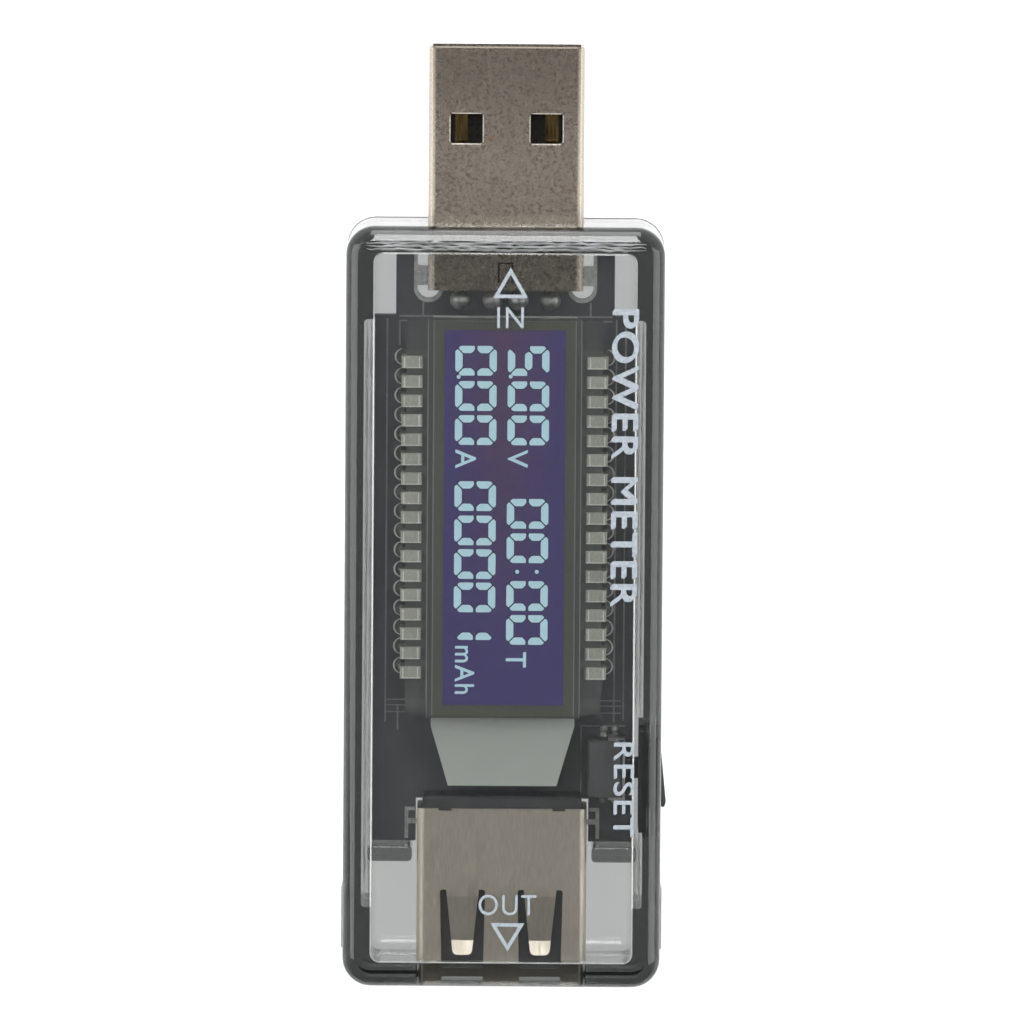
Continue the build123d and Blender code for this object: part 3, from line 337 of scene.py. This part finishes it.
def plug_nickel():
    """Tumbled nickel plate, speckled, darker at the tip, with painted shade at the root, painted highlights
    along its bent edges and a small stain by one window.
    """
    g = Graph("plug_nickel")
    x, y, _ = g.axes()
    fine = g.noise(0.042, 2, (0.8, 1.3, 1))
    broad = g.noise(4, 3)
    speckle = g.mix(g.step(fine, 0.25, 0.75), shade(0.125, 0.107, 0.088), shade(0.285, 0.253, 0.212))
    aged = g.mix(g.step(broad, 0.35, 0.7, 0, 0.35), speckle, shade(0.16, 0.14, 0.115))
    # Darker towards the tip.
    tip = g.step(y, case_high.y + 5 * MM, case_high.y + 12 * MM, 0, 0.7)
    darker_tip = g.mix(tip, aged, shade(0.1, 0.086, 0.07))
    # Painted shade: the plate is darkened round the root, where the plug goes into the case's end wall.
    past_wall = g.step(y, case_high.y - 1.2 * MM, case_high.y - 0.6 * MM)
    root = g.math("MULTIPLY", past_wall, g.step(y, case_high.y, case_high.y + 1.2 * MM, 0.6, 0))
    root_shaded = g.mix(root, darker_tip, shade(0.12, 0.1, 0.082))
    stain_x = g.math("ABSOLUTE", g.math("ADD", x, 1.15 * MM))
    stain_y = g.math("ABSOLUTE", g.math("SUBTRACT", y, 35.9 * MM))
    spot = g.math("ADD", g.math("MULTIPLY", stain_x, 0.8), stain_y)
    rough_spot = g.math("ADD", spot, g.math("MULTIPLY", g.noise(0.2, 3), 0.35 * MM))
    stained = g.mix(g.step(rough_spot, 0.2 * MM, 0.55 * MM, 0.75, 0), root_shaded, shade(0.17, 0.085, 0.03))
    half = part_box("plug_shell")[1].x
    # Painted highlight: the plate is lightened along the shell's bent edges, where they catch the light.
    bend_highlight = g.step(g.math("ABSOLUTE", x), half - 0.34 * MM, half - 0.2 * MM, 0, 0.85)
    g.set(Base_Color=g.mix(bend_highlight, stained, shade(0.56, 0.5, 0.43)))
    g.set(Metallic=1.0)
    g.set(Roughness=g.step(g.noise(0.3, 4), 0.3, 0.7, 0.22, 0.34))
    g.bump(fine, 0.006)
    return g.material


def socket_nickel():
    """Drawn nickel-plated steel, grained along the socket, with painted shade where it goes through the end
    wall.
    """
    g = Graph("socket_nickel")
    _, y, _ = g.axes()
    drawn = g.noise(0.12, 5, (1, 8, 1))
    plate = g.mix(g.step(drawn, 0.3, 0.7), shade(0.575, 0.52, 0.435), shade(0.69, 0.625, 0.53))
    # Painted shade: the shell is darkened inside the case's end wall.
    mouth_shade = g.step(y, case_low.y + 1.7 * MM, case_low.y + 1.85 * MM, 0.85, 0)
    g.set(Base_Color=g.mix(mouth_shade, plate, shade(0.13, 0.12, 0.1)))
    g.set(Metallic=1.0)
    g.set(Roughness=g.step(g.noise(0.24, 3, (1, 8, 1)), 0.3, 0.7, 0.32, 0.5))
    g.bump(drawn, 0.01)
    return g.material


def solder():
    """Bright solder with a dull skin in places, under dark flux along the display's pins."""
    g = Graph("solder")
    skin = g.noise(0.35, 4)
    _, y, _ = g.axes()
    pins_low, pins_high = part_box("lcd_pins_left")
    below_top = g.step(y, pins_high.y + 0.3 * MM, pins_high.y + 0.5 * MM, 1, 0)
    fluxed = g.math("MULTIPLY", g.step(y, pins_low.y - 0.5 * MM, pins_low.y - 0.3 * MM), below_top)
    bare = g.mix(g.step(skin, 0.35, 0.65), shade(0.42, 0.42, 0.41), shade(0.62, 0.62, 0.6))
    g.set(Base_Color=g.mix(g.math("MULTIPLY", fluxed, 0.75), bare, shade(0.13, 0.13, 0.12)))
    g.set(Metallic=0.5)
    g.set(Roughness=g.step(skin, 0.3, 0.7, 0.5, 0.3))
    g.bump(g.noise(0.3, 3), 0.03)
    return g.material


def diffuser(name, colour):
    """Pale plastic or film, a little uneven."""
    g = Graph(name)
    dim = shade(*[c * 0.92 for c in colour[:3]])
    g.set(Base_Color=g.mix(g.noise(2.5, 3), dim, colour))
    g.set(Roughness=g.step(g.noise(0.4, 3), 0.3, 0.7, 0.45, 0.6))
    g.bump(g.noise(0.15, 2), 0.004)
    return g.material


def ceramic(name, colour, dark):
    """Fired ceramic with fine dark pits."""
    g = Graph(name)
    g.set(Base_Color=g.mix(g.step(g.spots(0.12), 0.1, 0.6), dark, colour))
    g.set(Roughness=g.step(g.noise(0.2, 3), 0.3, 0.7, 0.35, 0.55))
    g.bump(g.noise(0.1, 3), 0.008)
    return g.material


def ink():
    """Pad-printed ink, thin enough to be a little uneven."""
    g = Graph("legend_ink")
    cover = g.step(g.noise(0.25, 4), 0.35, 0.7)
    g.set(Base_Color=g.mix(cover, shade(0.25, 0.282, 0.315), shade(0.36, 0.4, 0.44)))
    g.set(Roughness=0.5)
    g.bump(g.noise(0.12, 3), 0.004)
    return g.material


def board_print():
    """The grey lines printed on the board."""
    g = Graph("board_print")
    g.set(Base_Color=g.mix(g.noise(0.3, 5), shade(0.2, 0.2, 0.2), shade(0.42, 0.42, 0.41)))
    g.set(Roughness=0.6)
    g.bump(g.noise(0.15, 3), 0.006)
    return g.material


def lit_segment():
    """Pale blue light through a segment that is switched on."""
    g = Graph("lit_segment")
    glow = g.mix(g.noise(0.35, 4), shade(0.42, 0.66, 0.77), shade(0.54, 0.82, 0.9))
    g.set(Base_Color=shade(0.25, 0.34, 0.37), Emission_Color=glow, Emission_Strength=0.74)
    g.set(Roughness=0.4)
    return g.material


def segment_shadow():
    """Painted shadow: a dark edge round each lit segment."""
    g = Graph("segment_shadow")
    g.set(Base_Color=g.mix(g.noise(0.3, 3), shade(0.012, 0.014, 0.045), shade(0.02, 0.02, 0.07)))
    g.set(Roughness=0.4)
    return g.material


def weld_flash():
    """Milky plastic squeezed out of the welded joint, streaked along the joint."""
    g = Graph("weld_flash")
    streak = g.noise(0.22, 6, (1, 9, 1))
    g.set(Base_Color=g.mix(g.step(streak, 0.36, 0.6), shade(0.7, 0.71, 0.7), shade(1, 1, 0.99)))
    g.set(Roughness=0.3)
    g.bump(streak, 0.06)
    return g.material


def end_flash():
    """The same flash across the plug's end, streaked along X and glossier; its near-white streaks are also a
    painted glint along the inside of the end wall.
    """
    g = Graph("end_flash")
    streak = g.noise(0.2, 6, (8, 1, 1))
    g.set(Base_Color=g.mix(g.step(streak, 0.4, 0.6), shade(0.45, 0.45, 0.46), shade(0.97, 0.97, 0.98)))
    g.set(Roughness=0.12)
    g.bump(streak, 0.08)
    return g.material


def floor_paper():
    """Plain white paper on a light table, so that it stays even."""
    g = Graph("floor_paper")
    g.set(Base_Color=g.mix(g.noise(60, 2), shade(0.34, 0.34, 0.34), shade(0.36, 0.36, 0.36)))
    g.set(Roughness=0.9)
    g.set(Emission_Color=shade(1, 1, 1), Emission_Strength=0.86)
    return g.material


def finishes():
    """The material for each of the record's slots."""
    warm_steel = (shade(0.62, 0.62, 0.56), shade(0.48, 0.48, 0.43))
    # Painted shade: the contacts' colours are kept very dark for the shade deep inside the plug.
    gold = (shade(0.24, 0.165, 0.065), shade(0.035, 0.025, 0.012))
    return {
        "smoked_front": smoked_plastic("smoked_front"),
        "smoked_rear": smoked_plastic("smoked_rear"),
        "key_black": moulded("key_black", shade(0.034, 0.035, 0.039), 0.5),
        "board_mask": board_mask(),
        "display_picture": display_picture(),
        "display_glass": display_glass(),
        "display_back": diffuser("display_back", shade(0.3, 0.3, 0.28)),
        "pin_metal": metal("pin_metal", *warm_steel, 0.42, (1, 3, 1), sheen=0.6),
        "solder": solder(),
        "diffuser_white": diffuser("diffuser_white", shade(0.66, 0.69, 0.64)),
        "film_white": diffuser("film_white", shade(0.92, 0.92, 0.92)),
        "lamp_white": diffuser("lamp_white", shade(0.88, 0.86, 0.7)),
        "plug_nickel": plug_nickel(),
        "socket_nickel": socket_nickel(),
        "insulator_black": moulded("insulator_black", shade(0.075, 0.075, 0.08), 0.4),
        "tongue_black": moulded("tongue_black", shade(0.006, 0.005, 0.004), 0.3, gloss=0.12),
        "contact_gold": metal("contact_gold", *gold, 0.14, (0.9, 14, 1)),
        "cover_steel": metal("cover_steel", shade(0.55, 0.55, 0.54), shade(0.4, 0.4, 0.4), 0.35, (6, 1, 1)),
        "switch_black": moulded("switch_black", shade(0.13, 0.131, 0.136), 0.4),
        "chip_black": moulded("chip_black", shade(0.045, 0.045, 0.05), 0.55, 0.08),
        "resistor_black": ceramic("resistor_black", shade(0.03, 0.03, 0.034), shade(0.015, 0.015, 0.017)),
        "capacitor_tan": ceramic("capacitor_tan", shade(0.42, 0.29, 0.17), shade(0.3, 0.2, 0.11)),
    }


def dress_nodes():
    """Gives every CAD node the finish of its slot."""
    made = finishes()
    for part in frame["record"]["subparts"]:
        node = nodes[part["node"]]
        node.data.materials.clear()
        node.data.materials.append(made[part["material_slot"]])


def new_piece(name, mesh, material, body="root"):
    """Adds a piece of Blender detail that rides on a body, with its material."""
    piece = bpy.data.objects.new(name, mesh)
    bpy.context.scene.collection.objects.link(piece)
    piece.data.materials.clear()
    piece.data.materials.append(material)
    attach(piece, body)
    return piece


def rounded(points, radius, steps=3):
    """The outline with its corners rounded."""
    out = []
    count = len(points)
    for i, here in enumerate(points):
        before = Vector(points[i - 1]) - Vector(here)
        after = Vector(points[(i + 1) % count]) - Vector(here)
        reach = min(radius, before.length * 0.45, after.length * 0.45)
        start = Vector(here) + before.normalized() * reach
        end = Vector(here) + after.normalized() * reach
        for k in range(steps + 1):
            t = k / steps
            out.append(start * (1 - t) ** 2 + Vector(here) * 2 * t * (1 - t) + end * t**2)
    return out


def plate_mesh(name, outlines, bottom, thickness):
    """Flat plates, one for each outline in mm, from a height and with a thickness in metres."""
    bm = bmesh.new()
    for outline in outlines:
        low = [bm.verts.new((p[0] * MM, p[1] * MM, bottom)) for p in outline]
        high = [bm.verts.new((p[0] * MM, p[1] * MM, bottom + thickness)) for p in outline]
        bm.faces.new(high)
        bm.faces.new(list(reversed(low)))
        count = len(outline)
        for i in range(count):
            j = (i + 1) % count
            bm.faces.new((low[i], low[j], high[j], high[i]))
    bmesh.ops.recalc_face_normals(bm, faces=bm.faces)
    mesh = bpy.data.meshes.new(name)
    bm.to_mesh(mesh)
    bm.free()
    return mesh


def segment_outlines(grow):
    """The seven segments of a digit, from its lower left corner, each under its usual letter."""
    width, height, stroke, corner = DIGIT_WIDTH, DIGIT_HEIGHT, STROKE, DIGIT_CORNER
    gap = DIAGONAL_GAP * 0.7
    middle = height / 2
    top = [
        (corner, height),
        (width - corner, height),
        (width - (corner + gap) / 2, height - (corner - gap) / 2),
        (width - stroke - gap, height - stroke),
        (stroke + gap, height - stroke),
        ((corner + gap) / 2, height - (corner - gap) / 2),
    ]
    upper_left = [
        (0, height - corner),
        ((corner - gap) / 2, height - (corner + gap) / 2),
        (stroke, height - stroke - gap),
        (stroke, middle + stroke / 2 + gap),
        (stroke * 0.55, middle + MIDDLE_GAP / 2),
        (0, middle + MIDDLE_GAP / 2),
    ]
    centre = [
        (stroke * 0.6 + gap, middle),
        (stroke + gap, middle + stroke / 2),
        (width - stroke - gap, middle + stroke / 2),
        (width - stroke * 0.6 - gap, middle),
        (width - stroke - gap, middle - stroke / 2),
        (stroke + gap, middle - stroke / 2),
    ]

    def across(points):
        return [(width - u, v) for u, v in points]

    def down(points):
        return [(u, height - v) for u, v in points]

    shapes = {
        "a": top,
        "b": across(upper_left),
        "c": down(across(upper_left)),
        "d": down(top),
        "e": down(upper_left),
        "f": upper_left,
        "g": centre,
    }
    if grow:
        shapes = {key: grown(points, grow) for key, points in shapes.items()}
    return shapes


def grown(points, amount):
    """The outline pushed out from its middle by about an amount."""
    middle = sum((Vector(p) for p in points), Vector((0, 0))) / len(points)
    return [tuple(Vector(p) + (Vector(p) - middle).normalized() * amount) for p in points]


def on_display(u, v, start, row):
    """A point of a digit, whose own axes are u along its text and v up, on the display."""
    return (row + v, start - u)


def display_segments(grow):
    """Outlines of every lit segment and point, grown by an amount."""
    outlines = []
    shapes = segment_outlines(grow)
    for row, digits in DIGITS.items():
        for start, digit in digits:
            for key in LIT[digit]:
                placed = [on_display(u, v, start, row) for u, v in shapes[key]]
                outlines.append(rounded(placed, SEGMENT_ROUND))
    for x, y in DOTS:
        turns = [2 * math.pi * i / 14 for i in range(14)]
        radius = DOT_RADIUS + grow
        outlines.append([(x + radius * math.cos(t), y + radius * math.sin(t)) for t in turns])
    return outlines


def lettering(name, text, low, high, bottom, thickness, strike=0.0, turned=False):
    """Plain letters that fill the box from low to high, in mm. Turned letters read towards -Y.

    With strike they are drawn three times, that far apart, each on top of the last, so that they look bolder.
    """
    low = (low[0] + strike, low[1] + strike)
    high = (high[0] - strike, high[1] - strike)
    curve = bpy.data.curves.new(name + "_text", "FONT")
    curve.body = text
    curve.space_character = 1.12
    curve.resolution_u = 6
    curve.extrude = 0.1
    text_object = bpy.data.objects.new(name + "_text", curve)
    bpy.context.scene.collection.objects.link(text_object)
    bpy.context.view_layer.update()
    evaluated = text_object.evaluated_get(bpy.context.evaluated_depsgraph_get())
    mesh = bpy.data.meshes.new_from_object(evaluated)
    mesh.name = name
    bpy.data.objects.remove(text_object)
    bpy.data.curves.remove(curve)
    if turned:
        mesh.transform(Matrix.Rotation(-math.pi / 2, 4, "Z"))
    points = [v.co for v in mesh.vertices]
    lowest = Vector(min(p[i] for p in points) for i in range(3))
    highest = Vector(max(p[i] for p in points) for i in range(3))
    size = highest - lowest
    scale = ((high[0] - low[0]) * MM / size.x, (high[1] - low[1]) * MM / size.y, thickness / size.z)
    mesh.transform(Matrix.Translation(-lowest))
    mesh.transform(Matrix.Diagonal((*scale, 1)))
    mesh.transform(Matrix.Translation((low[0] * MM, low[1] * MM, bottom)))
    if not strike:
        return mesh
    copies = [mesh, mesh.copy(), mesh.copy()]
    for copy, sign, lift in zip(copies[1:], (-1, 1), (0.005, 0.01)):
        copy.transform(Matrix.Translation((sign * strike * MM, sign * strike * MM, lift * MM)))
    return joined(name, copies)


def joined(name, meshes):
    """One mesh of several, which it removes."""
    bm = bmesh.new()
    for mesh in meshes:
        bm.from_mesh(mesh)
    out = bpy.data.meshes.new(name)
    bm.to_mesh(out)
    bm.free()
    for mesh in meshes:
        bpy.data.meshes.remove(mesh)
    return out


def display_details():
    """Lit segments over the painted shadows round them, and the unit letters."""
    glow = lit_segment()
    layer = DISPLAY_LAYER * MM
    lit_bottom = picture_face + layer
    rims = plate_mesh("display_segment_shadows", display_segments(SEGMENT_SHADOW), picture_face, layer)
    new_piece("display_segment_shadows", rims, segment_shadow())
    segments = plate_mesh("display_segments", display_segments(0.0), lit_bottom, layer)
    new_piece("display_segments", segments, glow)
    units = (
        ("A", (-3.77, 10.74), (-2.18, 12.21)),
        ("mAh", (-3.7, -6.71), (-2.2, -2.99)),
        ("V", (0.25, 10.82), (1.8, 12.2)),
        ("T", (0.22, -4.64), (1.78, -3.43)),
    )
    meshes = [lettering("unit_" + text, text, *box, lit_bottom, layer, 0.02, True) for text, *box in units]
    new_piece("display_units", joined("display_units", meshes), glow)


def pin_details():
    """Painted highlights along the edges and bends of the display's pins, and a painted glint round each
    pin's joint on the board.
    """
    bars = []
    glint_arcs = []
    pins_low, pins_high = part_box("lcd_pins_right")
    first = pins_high.y / MM - PIN_HALF_TAB
    pitch = ((pins_high.y - pins_low.y) / MM - 2 * PIN_HALF_TAB) / (PIN_COUNT - 1)
    radius, lift, tube = JOINT_GLINT
    height = board_front / MM + lift
    for i in range(PIN_COUNT):
        y = first - pitch * i
        foot = y - PIN_HALF_TAB + 0.06
        for side in (-1, 1):
            inner, outer = (side * x for x in PIN_TAB_SPAN)
            bars.append(strip(inner, foot, outer, foot, PIN_FOOT_EDGE))
            for x, length, width in PIN_BENDS:
                bars.append(strip(side * x, foot + 0.04, side * x, y + length, width))
            glint_arcs.append(ring_arc((side * PIN_JOINT_X, y), radius, side, height, tube))
    # Painted highlight: near-white strips along the pins' feet and bends.
    pin_highlight = metal("pin_edge_highlight", shade(0.98, 0.98, 0.92), shade(0.86, 0.86, 0.79), 0.3, sheen=0.05)
    bar_mesh = plate_mesh("pin_highlight_strips", bars, pins_high.z, 0.03 * MM)
    new_piece("pin_highlight_strips", bar_mesh, pin_highlight)
    new_piece("joint_glints", joined("joint_glints", glint_arcs), joint_glint())


def window_glints():
    """Painted highlights on the bevels round the plug's two windows."""
    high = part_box("plug_shell")[1]
    high_y, low_y = (high.y / MM - reach for reach in WINDOW_FROM_TIP)
    frames = []
    for side in (-1, 1):
        low_x, high_x = sorted(side * x for x in WINDOW_X)
        for x in (low_x - 0.03, high_x + 0.03):
            frames.append(strip(x, low_y + 0.12, x, high_y - 0.12, WINDOW_EDGE))
        frames.append(strip(low_x + 0.14, high_y + 0.03, high_x - 0.14, high_y + 0.03, WINDOW_EDGE))
        frames.append(strip(low_x + 0.12, low_y - 0.04, high_x - 0.12, low_y - 0.04, WINDOW_ROOT_EDGE))
    mesh = plate_mesh("plug_window_highlights", frames, high.z, 0.006 * MM)
    # Painted highlight: pale strips round the windows.
    bright = metal("window_edge_highlight", shade(0.66, 0.61, 0.54), shade(0.42, 0.39, 0.34), 0.3, sheen=0.3)
    new_piece("plug_window_highlights", mesh, bright)


def tube_mesh(name, rings):
    """A smooth closed tube through rings of points, given in metres."""
    bm = bmesh.new()
    loops = [[bm.verts.new(point) for point in points] for points in rings]
    for a, b in zip(loops, loops[1:]):
        for k in range(len(a)):
            j = (k + 1) % len(a)
            bm.faces.new((a[k], a[j], b[j], b[k]))
    bm.faces.new(list(reversed(loops[0])))
    bm.faces.new(loops[-1])
    bmesh.ops.recalc_face_normals(bm, faces=bm.faces)
    mesh = bpy.data.meshes.new(name)
    bm.to_mesh(mesh)
    bm.free()
    mesh.polygons.foreach_set("use_smooth", [True] * len(mesh.polygons))
    return mesh


def ring(middle, across, width, height, corners):
    """Points in metres of an oval round a middle, with a half width across and a half height in mm."""
    points = []
    for k in range(corners):
        turn = 2 * math.pi * k / corners
        points.append((middle + across * width * math.cos(turn) + UP * height * math.sin(turn)) * MM)
    return points


def ring_arc(centre, radius, side, height, tube):
    """A thin round tube, in mm, bent round the outer half of a joint to carry a painted glint; side is 1 for
    the half towards +X.
    """
    rings = []
    stretches = 12
    for i in range(stretches + 1):
        t = i / stretches
        turn = math.radians(-80 + 160 * t)
        out = Vector((side * math.cos(turn), math.sin(turn), 0))
        middle = Vector((*centre, height)) + out * radius
        thick = tube * math.sin(math.pi * (0.12 + 0.76 * t))
        rings.append(ring(middle, out, thick, thick, 6))
    return tube_mesh("ring_arc", rings)


def joint_glint():
    """Painted glint: bright near-white along the edge of a solder joint."""
    g = Graph("joint_glint")
    g.set(Base_Color=g.mix(g.noise(0.3, 3), shade(0.9, 0.9, 0.88), shade(1, 1, 0.98)))
    g.set(Roughness=0.2)
    g.bump(g.noise(0.2, 3), 0.01)
    return g.material


def triangle_outline(apex, base_left, base_right, stroke):
    """A triangle's outline as three mitred bars."""
    outer = [Vector(p) for p in (apex, base_left, base_right)]
    a, b, c = (outer[1] - outer[2]).length, (outer[2] - outer[0]).length, (outer[0] - outer[1]).length
    centre = (outer[0] * a + outer[1] * b + outer[2] * c) / (a + b + c)
    area = abs((outer[1] - outer[0]).cross(outer[2] - outer[0])) / 2
    inradius = 2 * area / (a + b + c)
    inner = [centre + (p - centre) * (1 - stroke / inradius) for p in outer]
    bars = []
    for i in range(3):
        j = (i + 1) % 3
        bars.append([outer[i], outer[j], inner[j], inner[i]])
    return bars


def legends():
    """Ink on the front window: flow arrows, IN, OUT, RESET and a plain name for what it is."""
    printed = ink()
    layer = LEGEND_LAYER * MM
    up = triangle_outline((0.4, 26.34), (-0.95, 23.98), (1.75, 23.98), LEGEND_STROKE)
    down = triangle_outline((0.5, -26.53), (-0.82, -24.33), (1.8, -24.33), LEGEND_STROKE)
    arrows = plate_mesh("legend_arrows", up + down, front_face, layer)
    new_piece("legend_arrows", arrows, printed)
    words = (
        ("legend_in", "IN", (-0.62, 21.68), (1.42, 23.28), 0.0, False),
        ("legend_out", "OUT", (-1.75, -23.72), (2.7, -22.12), 0.0, False),
        ("legend_reset", "RESET", (8.57, -17.6), (10.18, -10.25), 0.035, True),
        ("legend_name", "POWER METER", (8.2, 0.2), (10.3, 23.2), 0.075, True),
    )
    for name, text, low, high, strike, turned in words:
        mesh = lettering(name, text, low, high, front_face, layer, strike, turned)
        new_piece(name, mesh, printed)


def strip(x0, y0, x1, y1, width):
    """The four corners of a straight line with a width."""
    start, end = Vector((x0, y0)), Vector((x1, y1))
    side = (end - start).normalized().orthogonal() * width / 2
    return [start + side, end + side, end - side, start - side]


def board_details():
    """Printed lines on the front of the board, round the display, the switch and the socket."""
    thin = 0.13
    lines = [
        strip(-9.11, 21.8, -9.11, -9.6, thin),
        strip(-8.15, 21.65, -8.15, 19.7, thin),
        strip(-8.15, -8.2, -8.15, -10.2, thin),
        strip(8.62, 21.8, 8.62, -9.5, thin),
        strip(9.35, 21.8, 9.35, -9.4, thin),
        strip(-8.2, 22.0, 8.3, 22.0, 0.16),
        strip(-8.2, 21.64, 8.3, 21.64, 0.1),
        strip(-6.35, 23.1, -6.35, 22.0, thin),
        strip(6.6, 23.1, 6.6, 22.0, thin),
        strip(6.1, -9.8, 6.1, -15.3, 0.1),
        strip(6.1, -9.8, 9.5, -9.8, 0.1),
    ]
    for side in (-1, 1):
        for y in (-7.84, -8.26, -8.8):
            lines.append(strip(side * 7.1, y, side * 9.2, y, 0.09))
    print_mesh = plate_mesh("board_lines", lines, board_front, BOARD_LAYER * MM)
    new_piece("board_lines", print_mesh, board_print())


def bead(name, start, end, height, half_width, half_height, spacing, wander, seed):
    """A ragged thread of plastic from start to end, in mm, as squeezed from the joint."""
    rng = random.Random(seed)
    start, end = Vector(start), Vector(end)
    along = (end - start).normalized()
    across = Vector((-along.y, along.x))
    count = max(2, int((end - start).length / spacing))
    rings = []
    for i in range(count + 1):
        t = i / count
        taper = min(1.0, 12 * min(t, 1 - t) + 0.15)
        middle = start.lerp(end, t) + across * rng.uniform(-wander, wander)
        lift = height + rng.uniform(-wander, wander) * 0.5
        wide = half_width * taper * rng.uniform(0.75, 1.0)
        tall = half_height * taper * rng.uniform(0.6, 1.0)
        rings.append(ring(Vector((*middle, lift)), Vector((*across, 0)), wide, tall, 8))
    return tube_mesh(name, rings)


def weld_details():
    """Flash along the welded joint inside the case: both long sides, and across the plug's end."""
    flash = weld_flash()
    flange_low, flange_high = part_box("reset_key")
    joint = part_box("front_shell")[0].z / MM + WELD_HEIGHT
    low, high = WELD_SPAN
    stretches = (
        ("weld_left", -1, low, high),
        ("weld_right_low", 1, low, flange_low.y / MM - WELD_KEY_GAP),
        ("weld_right_high", 1, flange_high.y / MM + WELD_KEY_GAP, high),
    )
    for name, side, start, end in stretches:
        threads = []
        for suffix, x, half_width, seed in WELD_THREADS:
            ends = (side * x, start), (side * x, end)
            threads.append(bead(name + suffix, *ends, joint, half_width, 0.05, 0.7, 0.03, seed))
        new_piece(name, joined(name, threads), flash)
    end_material = end_flash()
    behind_front = front_face / MM - END_WELD_DEPTH
    for suffix, y, seed in END_WELD_THREADS:
        name = "weld_end_" + suffix
        ends = ((x, y) for x in END_WELD_SPAN)
        mesh = bead(name, *ends, behind_front, 0.12, 0.07, 0.4, 0.06, seed)
        new_piece(name, mesh, end_material)


def rear_edge_shade():
    """Painted shade: a dark line along the rear shell's back edge, round the plug's end."""
    height = case_low.z / MM + BACK_ROUND
    corner_y = case_high.y / MM - CASE_CORNER
    corner_x = CASE_HALF_WIDTH - CASE_CORNER
    side_start = corner_y - BACK_LINE_END
    path = [Vector((-CASE_HALF_WIDTH, side_start, height))]
    for x, first in ((-corner_x, 180), (corner_x, 90)):
        for i in range(9):
            turn = math.radians(first - 90 * i / 8)
            out = Vector((math.cos(turn), math.sin(turn), 0))
            path.append(Vector((x, corner_y, height)) + CASE_CORNER * out)
    path.append(Vector((CASE_HALF_WIDTH, side_start, height)))
    rings = []
    for i, middle in enumerate(path):
        along = (path[min(i + 1, len(path) - 1)] - path[max(i - 1, 0)]).normalized()
        rings.append(ring(middle, UP.cross(along), BACK_LINE, BACK_LINE, 8))
    # Painted shade: a dark grey thread along the back edge.
    grey = moulded("rear_edge_grey", shade(0.16, 0.165, 0.165), 0.4)
    new_piece("rear_edge_shade", tube_mesh("rear_edge_shade", rings), grey)


def set_camera():
    """A long lens over the display, tipped towards the plug's end."""
    centre = (cad_box[0] + cad_box[1]) / 2
    target = Vector((VIEW_OFFSET_X, centre.y + VIEW_OFFSET_Y, centre.z))
    back = Vector((0, math.sin(CAMERA_TILT), math.cos(CAMERA_TILT)))
    up = Vector((0, math.cos(CAMERA_TILT), -math.sin(CAMERA_TILT)))
    right = up.cross(back)
    turn = Matrix((right, up, back)).transposed() @ Matrix.Rotation(CAMERA_ROLL, 3, "Z")
    camera = bpy.data.cameras.new("camera")
    camera.sensor_width = SENSOR
    camera.lens = SENSOR * CAMERA_DISTANCE / VIEW_WIDTH
    camera.clip_start = 0.01
    camera.clip_end = 100
    holder = bpy.data.objects.new("camera", camera)
    holder.matrix_world = Matrix.Translation(target + back * CAMERA_DISTANCE) @ turn.to_4x4()
    bpy.context.scene.collection.objects.link(holder)
    bpy.context.scene.camera = holder


def set_floor():
    """A wide plain floor just under the case."""
    bm = bmesh.new()
    bmesh.ops.create_grid(bm, x_segments=8, y_segments=8, size=FLOOR_SIZE)
    mesh = bpy.data.meshes.new("floor")
    bm.to_mesh(mesh)
    bm.free()
    floor = bpy.data.objects.new("floor", mesh)
    floor.location.z = cad_box[0].z - FLOOR_GAP
    floor.data.materials.append(floor_paper())
    bpy.context.scene.collection.objects.link(floor)


def softbox(name, place, size, radiance):
    """A white area light of a given brightness, aimed at the middle of the case."""
    light = bpy.data.lights.new(name, "AREA")
    light.shape = "RECTANGLE"
    light.size, light.size_y = size
    light.energy = radiance * math.pi * size[0] * size[1]
    lamp = bpy.data.objects.new(name, light)
    lamp.location = place
    lamp.rotation_mode = "QUATERNION"
    lamp.rotation_quaternion = (-Vector(place)).to_track_quat("-Z", "Y")
    bpy.context.scene.collection.objects.link(lamp)


def fade(tree, value, low, high, start, end):
    """A world node that goes smoothly from start to end as value goes from low to high."""
    node = tree.nodes.new("ShaderNodeMapRange")
    node.interpolation_type = "SMOOTHSTEP"
    for name, limit in (("From Min", low), ("From Max", high), ("To Min", start), ("To Max", end)):
        node.inputs[name].default_value = limit
    tree.links.new(value, node.inputs["Value"])
    return node.outputs["Result"]


def set_light():
    """A bright surround that is dimmer overhead and towards -Y, two strips at +Y and two side boxes."""
    world = bpy.data.worlds.new("surround")
    bpy.context.scene.world = world
    world.use_nodes = True
    tree = world.node_tree
    place = tree.nodes.new("ShaderNodeTexCoord").outputs["Generated"]
    split = tree.nodes.new("ShaderNodeSeparateXYZ")
    tree.links.new(place, split.inputs[0])
    both = tree.nodes.new("ShaderNodeMath")
    both.operation = "MULTIPLY"
    tree.links.new(fade(tree, split.outputs["Z"], *WORLD_BY_HEIGHT), both.inputs[0])
    tree.links.new(fade(tree, split.outputs["Y"], *WORLD_BY_LENGTH), both.inputs[1])
    background = tree.nodes["Background"]
    tree.links.new(both.outputs[0], background.inputs["Strength"])
    background.inputs["Color"].default_value = (1, 1, 1, 1)
    for light in LIGHTS:
        softbox(*light)
    bpy.context.scene.view_settings.view_transform = "Standard"


dress_nodes()
display_details()
pin_details()
window_glints()
legends()
board_details()
weld_details()
rear_edge_shade()
set_floor()
set_light()
set_camera()
